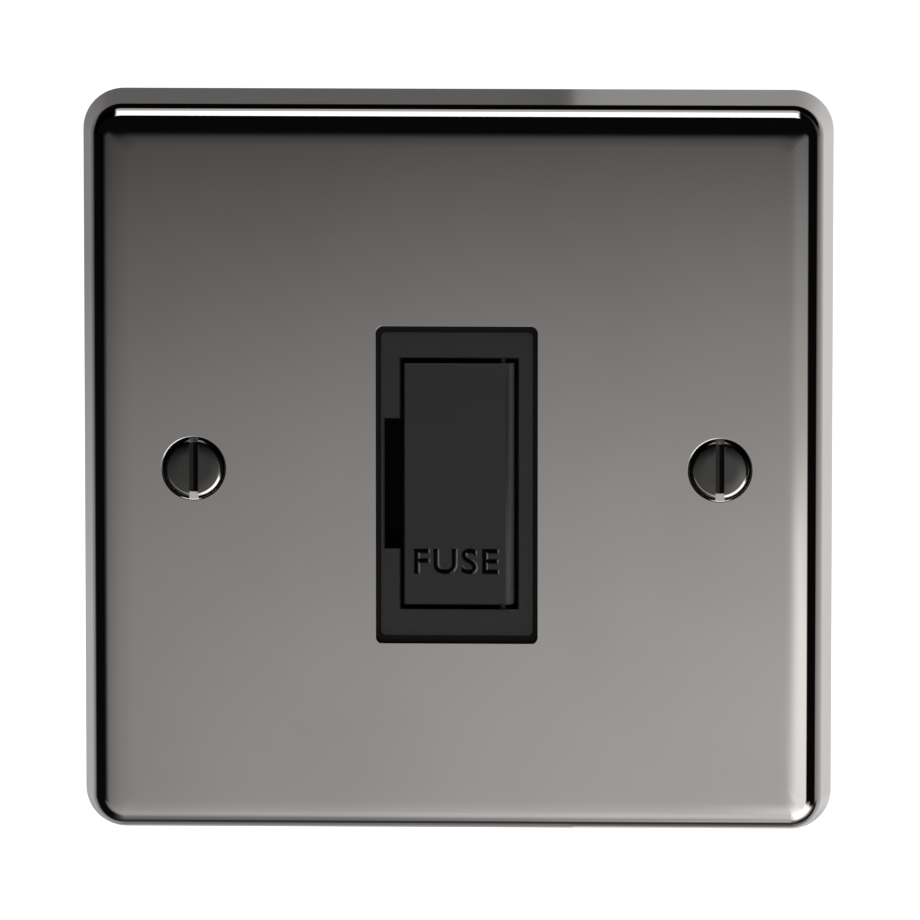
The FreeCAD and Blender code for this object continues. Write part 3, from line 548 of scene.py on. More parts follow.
CARRIER_FINISH = "carrier_plastic"
FINISHES = {
    "black_nickel": PolishedPlating("mirror_black_nickel", (0.372, 0.356, 0.345), (0.352, 0.337, 0.327),
                                    0.035, 0.06),
    # Screws with a painted highlight on the low round of the head and painted shade in the slot.
    "fixing_screw_metal": PlatingWithPaintedLight("plated_screw_black_nickel", (0.072, 0.070, 0.068),
                                        (0.56, 0.54, 0.52), (0.03, 0.029, 0.028), (0.004, 0.004, 0.004),
                                        0.16, 0.12, (-6.97, -6.86, -5.8, -5.0), 60.3),
    "fuse_cap_metal": PolishedPlating("plated_fuse_cap", (0.72, 0.69, 0.64), (0.62, 0.59, 0.55), 0.16, 0.28),
    "screw_steel": PolishedPlating("zinc_plated_steel", (0.64, 0.645, 0.65), (0.52, 0.53, 0.55), 0.24, 0.38),
    # Painted shade darkens the gaps round the insert and its finger notch.
    "black_plastic": MouldedPlastic("satin_black_moulding", (0.0125, 0.0125, 0.0135),
                                    (0.0145, 0.0145, 0.0155), 0.40, 0.12, 0.30, 0.3,
                                    painted_shade_mm=(-5.99, -5.7)),
    # Painted shade blackens the sunk letters and the carrier's sides below its face; its glints are painted highlights
    # on the letters' left-facing walls and on the carrier's right round.
    CARRIER_FINISH: MouldedPlastic("satin_black_carrier", (0.0125, 0.0125, 0.0135), (0.0145, 0.0145, 0.0155),
                                   0.40, 0.12, 0.30, 0.3, painted_shade_mm=(-6.16, -5.9), lag_mm=(5.2, 0.7),
                                   glints=(WallGlint((0.24, 0.24, 0.25), (-0.35, -0.6), (-5.2, -5.0), False),
                                           WallGlint((0.055, 0.055, 0.055), (0.2, 0.6), (5.1, 5.3), True))),
    "housing_plastic": MouldedPlastic("dark_rear_moulding", (0.030, 0.031, 0.033), (0.036, 0.037, 0.039),
                                      0.46, 0.14, 0.35, grain_scale=4200.0),
    "shield_plastic": MouldedPlastic("natural_insulating_sheet", (0.56, 0.54, 0.47), (0.50, 0.48, 0.41),
                                     0.42, 0.12, 0.2),
    "fuse_ceramic": GlazedCeramic("white_glazed_ceramic", (0.80, 0.78, 0.73), (0.74, 0.72, 0.66)),
    "clip_bronze": StripMetal("spring_bronze", (0.74, 0.50, 0.33), (0.62, 0.40, 0.25), 0.24, 0.25),
    "terminal_brass": StripMetal("drawn_brass", (0.80, 0.63, 0.32), (0.68, 0.51, 0.25), 0.20, 0.3),
    "strap_brass": StripMetal("rolled_brass", (0.79, 0.62, 0.33), (0.66, 0.50, 0.25), 0.24, 0.25),
    "link_copper": StripMetal("tinned_copper", (0.82, 0.47, 0.34), (0.62, 0.34, 0.25), 0.26, 0.25),
}


class Wardrobe:
    """Makes each finish once and gives it to pieces."""

    def __init__(self) -> None:
        """Builds the shared effects and the finishes."""
        shelf = EffectShelf()
        self.made = {slot: finish.make(shelf) for slot, finish in FINISHES.items()}

    def dress(self, piece: bpy.types.Object, slot: str) -> None:
        """Gives a piece one finish.

        Args:
            piece: The piece.
            slot: The record's material slot, or another key of the finishes.
        """
        if piece.data.materials:
            for index in range(len(piece.data.materials)):
                piece.data.materials[index] = self.made[slot]
        else:
            piece.data.materials.append(self.made[slot])

    def dress_frame(self) -> None:
        """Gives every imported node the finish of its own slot."""
        for node, slot in SLOTS.items():
            self.dress(frame["nodes"][node], slot)


def fit(piece: bpy.types.Object, body: Body, slot: str, wardrobe: Wardrobe, *nodes: str) -> bpy.types.Object:
    """Dresses a new piece and puts it on its body.

    Args:
        piece: The new piece, in place.
        body: The body that carries it.
        slot: The record's material slot.
        wardrobe: The finishes.
        *nodes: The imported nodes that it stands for.

    Returns:
        The piece.
    """
    wardrobe.dress(piece, slot)
    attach(piece, body.value)
    if nodes:
        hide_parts(*nodes)
    LOG.info("%s rides on %s", piece.name, body.value)
    return piece


# Meshes


@dataclass
class Shell:
    """A mesh in the making, whose faces carry a normal for each corner."""

    points: list[Vector] = field(default_factory=list)
    places: dict[tuple[int, ...], int] = field(default_factory=dict)
    faces: list[list[int]] = field(default_factory=list)
    normals: list[Vector] = field(default_factory=list)

    def spot(self, point: Vector) -> int:
        """Number of a point, shared by all faces that meet there."""
        key = tuple(round(value * 1e8) for value in point)
        if key not in self.places:
            self.places[key] = len(self.points)
            self.points.append(point)
        return self.places[key]

    def face(self, corners: Sequence[Corner]) -> None:
        """Adds one face, turned to suit its normals.

        Args:
            corners: Points with their normals, in order round the face.
        """
        kept: list[tuple[int, Corner]] = []
        for corner in corners:
            spot = self.spot(corner[0])
            if spot not in [number for number, _ in kept]:
                kept.append((spot, corner))
        if len(kept) < 3:
            return
        across = Vector((0.0, 0.0, 0.0))
        first = kept[0][1][0]
        for (_, (second, _)), (_, (third, _)) in zip(kept[1:], kept[2:]):
            across += (second - first).cross(third - first)
        if across.dot(sum((corner[1] for _, corner in kept), Vector((0.0, 0.0, 0.0)))) < 0.0:
            kept.reverse()
        self.faces.append([number for number, _ in kept])
        self.normals.extend(corner[1] for _, corner in kept)

    def loft(self, rings: Sequence[Ring]) -> None:
        """Joins closed rings of equal length, each to the next.

        Args:
            rings: The rings in order.
        """
        for near, far in zip(rings, rings[1:]):
            for step in range(len(near)):
                after = (step + 1) % len(near)
                self.face((near[step], near[after], far[after], far[step]))

    def fill(self, loops: Sequence[Ring], normal: Vector) -> None:
        """Fills a flat outline that may have holes.

        Args:
            loops: The outline first, then its holes.
            normal: The flat face's normal.
        """
        flat = [[Vector((point.x, point.z, 0.0)) for point, _ in loop] for loop in loops]
        points = [point for loop in loops for point, _ in loop]
        for triangle in tessellate_polygon(flat):
            self.face([(points[index], normal) for index in triangle])

    def finish(self, name: str) -> bpy.types.Object:
        """Makes the object.

        Args:
            name: The object's name.

        Returns:
            The object, linked to the scene.
        """
        mesh = bpy.data.meshes.new(name)
        mesh.from_pydata([tuple(point) for point in self.points], [], self.faces)
        mesh.polygons.foreach_set("use_smooth", [True] * len(mesh.polygons))
        mesh.normals_split_custom_set([tuple(normal.normalized()) for normal in self.normals])
        return linked(name, mesh)


def linked(name: str, mesh: bpy.types.Mesh) -> bpy.types.Object:
    """Makes an object of a mesh and links it to the scene."""
    made = bpy.data.objects.new(name, mesh)
    bpy.context.scene.collection.objects.link(made)
    return made


def quarter_turn(steps: int) -> list[float]:
    """Angles that divide a quarter turn into equal steps, from 0."""
    return [math.pi / 2.0 * step / steps for step in range(steps + 1)]


def rim_corner(across: float, up: float, radius: float, back: float, angle: float, tilt: float) -> Corner:
    """A point of a round about a Y axis, with its normal.

    Args:
        across: X of the axis.
        up: Z of the axis.
        radius: The round's radius.
        back: Y of the point.
        angle: Angle of the point from +X towards +Z, in radians.
        tilt: Angle of the normal from -Y towards the outside, in radians.

    Returns:
        The point and its normal.
    """
    away = Vector((math.cos(angle), 0.0, math.sin(angle)))
    return Vector((across, back, up)) + away * radius, away * math.sin(tilt) + OUTWARD * math.cos(tilt)


def circle_ring(across: float, radius: float, back: float, tilt: float, steps: int = 96) -> Ring:
    """A ring about a Y axis on the plate's middle line.

    Args:
        across: X of the axis.
        radius: The ring's radius.
        back: Y of the ring.
        tilt: Angle of the normals from -Y towards the outside, in radians.
        steps: Points in the ring.

    Returns:
        The ring's corners.
    """
    return [rim_corner(across, 0.0, radius, back, FULL_TURN * step / steps, tilt) for step in range(steps)]


def corner_ring(left: float, right: float, low: float, high: float, radius: float, back: float, tilt: float,
                steps: int = 20) -> Ring:
    """A ring of rounded-rectangle form across Y.

    Args:
        left: Lowest X.
        right: Highest X.
        low: Lowest Z.
        high: Highest Z.
        radius: Corner radius.
        back: Y of the ring.
        tilt: Angle of the normals from -Y towards the outside, in radians.
        steps: Faces in each corner.

    Returns:
        The ring's corners.
    """
    middles = ((right - radius, high - radius), (left + radius, high - radius),
               (left + radius, low + radius), (right - radius, low + radius))
    return [rim_corner(*middle, radius, back, math.pi / 2.0 * (quarter + step / steps), tilt)
            for quarter, middle in enumerate(middles) for step in range(steps + 1)]


@dataclass
class FrontPlate:
    """Pressed plate with sloping walls, a soft edge, a window and two pressed cones."""

    wardrobe: Wardrobe
    sheet_mm: float = 1.2
    corner_mm: float = 4.7
    draft_degrees: float = 12.0
    edge_mm: float = 2.2
    inner_edge_mm: float = 1.0
    crown_degrees: float = 6.0
    crown_mm: float = 2.9
    window_half_mm: tuple[float, float] = (9.248, 18.4)
    window_middle_mm: float = -1.9
    window_corner_mm: float = 0.8
    countersink_mm: float = 3.6
    cone_degrees: float = 45.0
    hole_mm: float = 2.0
    dimple_wall_mm: float = 1.0
    lip_mm: float = 0.22
    lip_inset: float = 0.7
    lip_steps: int = 6
    window_lip_mm: float = 0.05
    least_corner_mm: float = 1.4
    crown_steps: int = 14
    round_steps: int = 40

    def edge_profile(self, radius: float, crown: float, reach: float) -> list[tuple[float, float, float]]:
        """Section of the round from the flat face to the sloping wall.

        Args:
            radius: Radius of the round.
            crown: Angle at which the round takes over from the slow crown, in radians.
            reach: Width of the slow crown.

        Returns:
            Steps of way out, way back and tilt, starting at the flat.
        """
        steps = []
        out = back = 0.0
        for step in range(self.crown_steps):
            steps.append((out, back, crown * (step / self.crown_steps) ** 2))
            middle = crown * ((step + 0.5) / self.crown_steps) ** 2
            out += reach / self.crown_steps * math.cos(middle)
            back += reach / self.crown_steps * math.sin(middle)
        wall = math.radians(90.0 - self.draft_degrees)
        for step in range(self.round_steps + 1):
            tilt = crown + (wall - crown) * step / self.round_steps
            steps.append((out + radius * (math.sin(tilt) - math.sin(crown)),
                          back + radius * (math.cos(crown) - math.cos(tilt)), tilt))
        return steps

    def side_rings(self, box: tuple[Vector, Vector], face: float, base_inset: float, radius: float, crown: float,
                   reach: float) -> list[Ring]:
        """Rings from the wall's foot over the round to the flat.

        Args:
            box: The plate's lowest and highest corners.
            face: Y of the flat.
            base_inset: Inset of the wall's foot from the box.
            radius: Radius of the round.
            crown: Angle where the slow crown ends, in radians.
            reach: Width of the slow crown.

        Returns:
            The rings, foot first.
        """
        low, high = box
        steps = self.edge_profile(radius, crown, reach)
        slope = math.tan(math.radians(self.draft_degrees))
        out_end, back_end, wall_tilt = steps[-1]
        end_y = face + back_end
        flat_inset = base_inset - end_y * slope + out_end
        places = [(base_inset, 0.0, wall_tilt)]
        places += [(flat_inset - out, face + back, tilt) for out, back, tilt in reversed(steps)]
        rings = []
        for inset, back, tilt in places:
            corner = max(self.corner_mm * MM - inset, self.least_corner_mm * MM)
            rings.append(corner_ring(low.x + inset, high.x - inset, low.z + inset, high.z - inset, corner, back, tilt))
        return rings

    def window(self, grow: float, back: float, tilt: float) -> Ring:
        """The window's outline, grown outwards, with its normals turned to the opening."""
        across, up = (half * MM + grow for half in self.window_half_mm)
        middle = self.window_middle_mm * MM
        return corner_ring(-across, across, middle - up, middle + up, self.window_corner_mm * MM + grow, back, tilt, 8)

    def hole_rings(self, across: float, face: float, back_face: float) -> tuple[list[Ring], Ring]:
        """Cone, hole and collar of one fixing hole.

        Args:
            across: X of the hole.
            face: Y of the plate's face.
            back_face: Y of the sheet's back.

        Returns:
            The rings from the face to the collar's end, and the collar's ring on the sheet's back.
        """
        cone, hole, lip = self.countersink_mm * MM, self.hole_mm * MM, self.lip_mm * MM
        rings = []
        slope = math.radians(self.cone_degrees)
        for step in range(self.lip_steps + 1):
            tilt = slope * step / self.lip_steps
            rings.append(circle_ring(across, cone + lip * (self.lip_inset - math.sin(tilt)),
                                     face + lip * (1.0 - math.cos(tilt)), -tilt))
        rings.append(circle_ring(across, hole, face + cone - hole, -slope))
        return rings, circle_ring(across, hole + self.dimple_wall_mm * MM, back_face, 0.0)

    def build(self) -> bpy.types.Object:
        """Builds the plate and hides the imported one."""
        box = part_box("front_plate")
        face = box[0].y
        back_face = face + self.sheet_mm * MM
        shell = Shell()
        outer = self.side_rings(box, face, 0.0, self.edge_mm * MM, math.radians(self.crown_degrees),
                                self.crown_mm * MM)
        shell.loft(outer)
        rim = self.sheet_mm * MM / math.cos(math.radians(self.draft_degrees))
        inner = self.side_rings(box, back_face, rim, self.inner_edge_mm * MM, 0.0, 0.0)
        inner = [[(point, -normal) for point, normal in ring] for ring in inner]
        shell.loft(inner)
        flat_rim = [[(point, INWARD) for point, _ in ring] for ring in (outer[0], inner[0])]
        shell.loft(flat_rim)

        lip = self.window_lip_mm * MM
        lips = [self.window(lip * (1.0 - math.sin(angle)), face + lip * (1.0 - math.cos(angle)), -angle)
                for angle in quarter_turn(5)]
        window_back = self.window(0.0, back_face, -math.pi / 2.0)
        shell.loft(lips + [window_back])
        front_holes, back_holes = [lips[0]], [window_back]
        for node in ("fixing_screw_left", "fixing_screw_right"):
            low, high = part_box(node)
            across = (low.x + high.x) / 2.0
            rings, collar_back = self.hole_rings(across, face, back_face)
            shell.loft(rings)
            front_holes.append(rings[0])
            self.collar(shell, across, rings[-1], collar_back)
            back_holes.append(collar_back)
        shell.fill([outer[-1]] + front_holes, OUTWARD)
        shell.fill([inner[-1]] + back_holes, INWARD)
        piece = shell.finish("polished_front_plate")
        return fit(piece, Body.UNIT, "black_nickel", self.wardrobe, "front_plate")

    def collar(self, shell: Shell, across: float, foot: Ring, collar_back: Ring) -> None:
        """Adds the collar that the pressed cone leaves behind the sheet.

        Args:
            shell: The plate in the making.
            across: X of the hole.
            foot: The cone's last ring.
            collar_back: The collar's ring on the sheet's back.
        """
        hole, wall, quarter = self.hole_mm * MM, self.dimple_wall_mm * MM, math.pi / 2.0
        start, finish = foot[0][0].y, collar_back[0][0].y
        end = start + wall / 2.0
        for tilt, near, far in ((-quarter, (hole, start), (hole, end)),
                                (math.pi, (hole, end), (hole + wall, end)),
                                (quarter, (hole + wall, end), (hole + wall, finish))):
            shell.loft([circle_ring(across, *place, tilt) for place in (near, far)])


def turned(name: str, rings: Sequence[Sequence[Vector]]) -> bpy.types.Object:
    """Joins closed rings of equal length, each to the next, and closes both ends.

    Args:
        name: The piece's name.
        rings: The rings in order.

    Returns:
        The turned piece.
    """
    mesh = bmesh.new()
    made = [[mesh.verts.new(point) for point in ring] for ring in rings]
    for near, far in zip(made, made[1:]):
        for step in range(len(near)):
            after = (step + 1) % len(near)
            mesh.faces.new((near[step], near[after], far[after], far[step]))
    for ring in (made[0], made[-1]):
        mesh.faces.new(ring)
    bmesh.ops.recalc_face_normals(mesh, faces=mesh.faces)
    piece = from_bmesh(name, mesh)
    smooth(piece, CRISP_DEGREES)
    return piece


@dataclass
class SlottedScrew:
    """A slotted screw with a real helical thread, turned about Y."""

    node: str
    slot: str
    body: Body
    wardrobe: Wardrobe
    thread_mm: float
    head_mm: float
    head_height_mm: float
    pitch_mm: float
    slot_width_mm: float = 1.0
    slot_depth_mm: float = 0.9
    countersunk: bool = False
    neck_mm: float = 0.0
    edge_mm: float = 0.2
    steps: int = 48
    rows_per_turn: int = 8
    depth_pitches: float = 0.58
    crest_range: tuple[float, float] = (0.1, 0.85)
    point_pitches: float = 1.2
    point_mm: float = 0.25
    bend_degrees: tuple[float, float] = (8.0, 42.0)
    bend_steps: int = 12

    def thread_radius(self, along: float, angle: float, start: float, end: float) -> float:
        """Radius of the thread's surface.

        Args:
            along: Distance from the head's face.
            angle: Angle about the axis.
            start: Where the thread starts.
            end: The screw's tip.

        Returns:
            The radius at that place.
        """
        pitch = self.pitch_mm * MM
        turn = ((along - start) / pitch - angle / FULL_TURN) % 1.0
        ridge = 1.0 - abs(2.0 * turn - 1.0)
        low, high = self.crest_range
        shape, lead, point = (min(1.0, max(0.0, value)) for value in (
            (ridge - low) / (high - low), (along - start) / pitch, (end - along) / (self.point_pitches * pitch)))
        depth = self.depth_pitches * pitch * (1.0 - shape * lead * point)
        return self.thread_mm * MM / 2.0 - depth - self.point_mm * MM * (1.0 - point)

    def head_profile(self) -> list[tuple[float, float]]:
        """Way out and distance from the head's face, down to the shank."""
        head, edge = self.head_mm * MM / 2.0, self.edge_mm * MM
        core = (self.thread_mm / 2.0 - self.depth_pitches * self.pitch_mm) * MM
        profile = [(0.0, 0.0), (head * 0.5, 0.0)]
        if self.countersunk:
            first, last = (math.radians(value) for value in self.bend_degrees)
            bend = edge / (math.sin(last) - math.sin(first))
            for step in range(self.bend_steps + 1):
                tilt = first + (last - first) * step / self.bend_steps
                profile.append((head - edge + bend * (math.sin(tilt) - math.sin(first)),
                                bend * (math.cos(first) - math.cos(tilt))))
            return profile + [(head, edge), (core, edge + head - core)]
        height = self.head_height_mm * MM
        profile += [(head - edge + edge * math.sin(a), edge - edge * math.cos(a))
                    for a in quarter_turn(5)]
        profile += [(head, height - edge * 0.4), (head - edge * 0.4, height), (core, height)]
        return profile

    def build(self, facing: Vector) -> bpy.types.Object:
        """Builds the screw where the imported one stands.

        Args:
            facing: The way that the head faces, -Y or +Y.

        Returns:
            The screw.
        """
        low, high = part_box(self.node)
        across, up = (low.x + high.x) / 2.0, (low.z + high.z) / 2.0
        face = low.y if facing.y < 0.0 else high.y
        length = high.y - low.y
        angles = [FULL_TURN * step / self.steps for step in range(self.steps)]
        profile = self.head_profile()
        spots = [(along, [radius] * self.steps) for radius, along in profile[1:]]
        start = profile[-1][1] + self.neck_mm * MM
        rows = round((length - start) / (self.pitch_mm * MM) * self.rows_per_turn)
        for row in range(rows + 1):
            along = start + (length - start) * row / rows
            spots.append((along, [self.thread_radius(along, angle, start, length) for angle in angles]))
        rings = [[Vector((across + radius * math.cos(angle), face - facing.y * along, up + radius * math.sin(angle)))
                  for radius, angle in zip(radii, angles)] for along, radii in spots]
        name = self.node.replace("screw", "threaded_screw")
        piece = turned(name, rings)
        driver = slot_block(name + "_slot_cut", self.slot_width_mm * MM, self.slot_depth_mm * MM, self.head_mm * MM)
        driver.location = (across, face, up)
        carve(piece, driver)
        smooth(piece, CRISP_DEGREES)
        return fit(piece, self.body, self.slot, self.wardrobe, self.node)


def from_bmesh(name: str, mesh: bmesh.types.BMesh) -> bpy.types.Object:
    """Turns a bmesh into a linked object and frees it."""
    data = bpy.data.meshes.new(name)
    mesh.to_mesh(data)
    mesh.free()
    return linked(name, data)


def smooth(piece: bpy.types.Object, degrees: float) -> None:
    """Shades a piece smooth, with edges sharper than the angle left crisp."""
    piece.data.polygons.foreach_set("use_smooth", [True] * len(piece.data.polygons))
    piece.data.set_sharp_from_angle(angle=math.radians(degrees))


def slot_block(name: str, width: float, depth: float, reach: float) -> bpy.types.Object:
    """A block that cuts a screwdriver slot, tall along Z and centred on the head's face."""
    mesh = bmesh.new()
    bmesh.ops.create_cube(mesh, size=1.0)
    bmesh.ops.scale(mesh, vec=(width, 2.0 * depth, 1.2 * reach), verts=mesh.verts)
    return from_bmesh(name, mesh)


def carve(piece: bpy.types.Object, cutter: bpy.types.Object) -> None:
    """Cuts one object out of another and removes the cutter.

    Args:
        piece: The object that is cut.
        cutter: The object that cuts.
    """
    bpy.context.view_layer.update()
    modifier = piece.modifiers.new("carve", "BOOLEAN")
    modifier.operation = "DIFFERENCE"
    modifier.solver = "EXACT"
    modifier.object = cutter
    settle(piece)
    bpy.data.objects.remove(cutter)


def settle(piece: bpy.types.Object) -> None:
    """Applies a piece's modifiers."""
    seen = bpy.context.evaluated_depsgraph_get()
    seen.update()
    mesh = bpy.data.meshes.new_from_object(piece.evaluated_get(seen))
    piece.modifiers.clear()
    piece.data = mesh


def copy_of(node: str, name: str) -> bpy.types.Object:
    """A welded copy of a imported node's mesh, free of its materials."""
    mesh = bmesh.new()
    mesh.from_mesh(frame["nodes"][node].data)
    bmesh.ops.remove_doubles(mesh, verts=mesh.verts, dist=1e-6)
    piece = from_bmesh(name, mesh)
    piece.data.materials.clear()
    return piece


@dataclass
class MarkedCarrier:
    """The swing-out fuse holder with its sunk marking."""

    wardrobe: Wardrobe
    marking: str = "FUSE"
    width_mm: float = 9.8
    height_mm: float = 3.07
    middle_mm: tuple[float, float] = (-0.05, -10.86)
    depth_mm: float = 0.5
    weight: float = -0.03
    slope: float = 0.062
    letter_spacing: float = 1.12
    round_from_mm: float = 5.0
    round_facing: tuple[float, float] = (0.02, 0.98)

    def letters(self) -> bpy.types.Object:
        """The marking as a solid that straddles the carrier's face."""
        curve = bpy.data.curves.new("sunk_marking", "FONT")
        curve.body = self.marking
        curve.align_x = curve.align_y = "CENTER"
        curve.bevel_depth = self.slope
        curve.bevel_resolution = 0
        curve.offset = self.weight
        curve.space_character = self.letter_spacing
        curve.resolution_u = 4
        text = bpy.data.objects.new("sunk_marking", curve)
        bpy.context.scene.collection.objects.link(text)
        seen = bpy.context.evaluated_depsgraph_get()
        solid = linked("sunk_marking_solid", bpy.data.meshes.new_from_object(text.evaluated_get(seen)))
        bpy.data.objects.remove(text)
        spots = [vertex.co for vertex in solid.data.vertices]
        low, high = (Vector(pick(spot[axis] for spot in spots) for axis in range(3)) for pick in (min, max))
        size = high - low
        scale = Matrix.Diagonal((self.width_mm * MM / size.x, self.height_mm * MM / size.y,
                                 self.depth_mm * MM / size.z * 2.0, 1.0))
        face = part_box("fuse_carrier")[0].y
        stand = Matrix.Rotation(math.pi / 2.0, 4, "X")
        across, up = (value * MM for value in self.middle_mm)
        solid.data.transform(Matrix.Translation((across, face, up)) @ stand @ scale
                             @ Matrix.Translation(-(low + high) / 2.0))
        return solid

    def build(self) -> bpy.types.Object:
        """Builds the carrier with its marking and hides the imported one."""
        piece = copy_of("fuse_carrier", "marked_fuse_carrier")
        carve(piece, self.letters())
        for polygon in piece.data.polygons:
            right = polygon.center.x > self.round_from_mm * MM
            polygon.use_smooth = right and self.round_facing[0] < polygon.normal.x < self.round_facing[1]
        fit(piece, Body.CARRIER, "black_plastic", self.wardrobe, "fuse_carrier")
        self.wardrobe.dress(piece, CARRIER_FINISH)
        return piece


@dataclass
class Cartridge:
    """The cartridge fuse: a ceramic barrel between two pressed caps."""

    wardrobe: Wardrobe
    round_mm: float = 0.45
    lip_mm: float = 0.12
    wall_mm: float = 0.22
    groove_mm: tuple[float, float, float] = (1.1, 0.5, 0.09)
    barrel_edge_mm: float = 0.2
    barrel_band_mm: float = 3.0
    steps: int = 64

    def rings(self, middle: Vector, profile: Sequence[tuple[float, float]]) -> list[list[Vector]]:
        """Turns a section about a Z axis.

        Args:
            middle: A point on the axis.
            profile: Radius and height pairs in metres.

        Returns:
            A ring for each pair.
        """
        angles = [FULL_TURN * step / self.steps for step in range(self.steps)]
        return [[Vector((middle.x + radius * math.cos(angle), middle.y + radius * math.sin(angle), up))
                 for angle in angles] for radius, up in profile]

    def cap(self, node: str, sign: float) -> bpy.types.Object:
        """Builds one pressed cap.

        Args:
            node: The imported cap.
            sign: 1 for the upper cap, -1 for the lower.

        Returns:
            The cap.
        """
        low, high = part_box(node)
        middle = (low + high) / 2.0
        radius = (high.x - low.x) / 2.0
        tip, rim = (high.z, low.z) if sign > 0.0 else (low.z, high.z)
        edge, lip, wall = (value * MM for value in (self.round_mm, self.lip_mm, self.wall_mm))
        inset, width, depth = (value * MM for value in self.groove_mm)
        profile = [(radius * 0.55, tip)]
        for angle in quarter_turn(7):
            profile.append((radius - edge + edge * math.sin(angle), tip - sign * (edge - edge * math.cos(angle))))
        for step in range(9):
            way = step / 8 - 0.5
            dip = depth * (math.cos(FULL_TURN * way) + 1.0) / 2.0
            profile.append((radius - dip, rim + sign * (inset - way * width)))
        profile += [(radius, rim + sign * lip), (radius - lip * 0.3, rim + sign * lip * 0.3),
                    (radius - lip, rim), (radius - wall, rim)]
        piece = turned(node + "_pressed", self.rings(middle, profile))
        return fit(piece, Body.CARRIER, "fuse_cap_metal", self.wardrobe, node)

    def barrel(self) -> bpy.types.Object:
        """Builds the ceramic barrel."""
        low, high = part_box("fuse_barrel")
        middle = (low + high) / 2.0
        radius = (high.x - low.x) / 2.0
        edge, band = self.barrel_edge_mm * MM, self.barrel_band_mm * MM
        profile = [(radius - edge, low.z), (radius, low.z + edge), (radius, middle.z - band),
                   (radius, middle.z + band), (radius, high.z - edge), (radius - edge, high.z)]
        piece = turned("fuse_barrel_glazed", self.rings(middle, profile))
        return fit(piece, Body.CARRIER, "fuse_ceramic", self.wardrobe, "fuse_barrel")

    def build(self) -> None:
        """Builds the three pieces of the fuse."""
        self.barrel()
        self.cap("fuse_cap_upper", 1.0)
        self.cap("fuse_cap_lower", -1.0)


@dataclass
class EasedCopies:
    """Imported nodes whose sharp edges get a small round."""

    wardrobe: Wardrobe
    rounds_mm: tuple[tuple[str, float], ...] = (("terminal", 0.22), ("neutral_link", 0.12))
    sharp_degrees: float = 50.0
    crisp_degrees: float = 40.0

    def build(self) -> None:
        """Builds an eased copy of each terminal and of the link."""
        for node in sorted(frame["nodes"]):
            width = next((value for key, value in self.rounds_mm if key in node), None)
            if width is None:
                continue
            piece = copy_of(node, node + "_eased")
            bevel = piece.modifiers.new("ease", "BEVEL")
            bevel.width = width * MM
            bevel.segments = 3
            bevel.limit_method = "ANGLE"
            bevel.angle_limit = math.radians(self.sharp_degrees)
            bevel.use_clamp_overlap = True
            settle(piece)
            smooth(piece, self.crisp_degrees)
            fit(piece, Body.UNIT, SLOTS[node], self.wardrobe, node)


# Studio


class Measure(Enum):
    """How a card of light is placed round the object."""

    ROUND = "azimuth and elevation"
    OVER = "pitch over the top and way to the side"
    CLOCK = "angle from the direction that the face mirrors, and angle round it from +X"


@dataclass(frozen=True)
class Card:
    """A soft-edged field of light or dark that only reflections see, in degrees."""

    kind: Measure
    middle: tuple[float, float]
    half: tuple[float, float]
    edge: tuple[float, float]
    level: float


CARDS = (
    Card(Measure.ROUND, (46.0, 25.0), (25.0, 45.0), (9.0, 5.0), 0.006),
    Card(Measure.OVER, (19.0, 0.0), (23.0, 75.0), (4.0, 20.0), 0.006),
    Card(Measure.OVER, (108.5, 0.0), (25.5, 75.0), (3.0, 20.0), 0.004),
    Card(Measure.OVER, (62.5, 0.0), (20.5, 17.0), (1.6, 8.0), 3.4),
    Card(Measure.OVER, (79.0, 0.0), (8.0, 17.0), (6.0, 8.0), 1.1),
    Card(Measure.OVER, (145.0, -20.4), (6.0, 20.0), (2.0, 1.6), 0.24),
    Card(Measure.OVER, (-98.0, 0.0), (11.0, 60.0), (8.0, 20.0), 0.09),
    Card(Measure.CLOCK, (38.0, -52.0), (24.0, 26.0), (12.0, 12.0), 3.0),
    Card(Measure.CLOCK, (15.0, -25.0), (8.0, 22.0), (7.0, 14.0), 2.0),
    Card(Measure.CLOCK, (63.0, -12.0), (15.0, 16.0), (8.0, 12.0), 0.006),
    Card(Measure.CLOCK, (84.0, -45.0), (10.0, 28.0), (8.0, 16.0), 0.03),
    Card(Measure.CLOCK, (72.0, -143.0), (28.0, 38.0), (14.0, 34.0), 0.008),
)


@dataclass(frozen=True)
class Lamp:
    """A soft square lamp that looks at the object and shows in no gloss."""

    name: str
    place: tuple[float, float, float]
    size: float
    watts: float

    def build(self) -> None:
        """Adds the lamp to the scene."""
        light = bpy.data.lights.new(self.name, "AREA")
        light.size = self.size
        light.energy = self.watts
        lamp = bpy.data.objects.new(self.name, light)
        lamp.location = self.place
        lamp.rotation_euler = (-Vector(self.place)).to_track_quat("-Z", "Y").to_euler()
        lamp.visible_glossy = False
        bpy.context.scene.collection.objects.link(lamp)


LAMPS = (
    Lamp("soft_key", (-0.9, -1.5, 1.7), 1.4, 16.0),
    Lamp("soft_fill", (1.6, -1.2, 0.6), 1.6, 7.0),
    Lamp("rear_fill", (0.6, 1.8, 1.2), 1.6, 9.0),
)


@dataclass(frozen=True)
class Fade:
    """A value that goes from start to end while another goes from low to high."""

    low: float
    high: float
    start: float = 0.0
    end: float = 1.0
    smooth: bool = True

    def across(self, tree: Tree, value: bpy.types.NodeSocket) -> bpy.types.NodeSocket:
        """What the fade gives at a value."""
        return tree.spread(value, self.low, self.high, self.start, self.end, self.smooth)


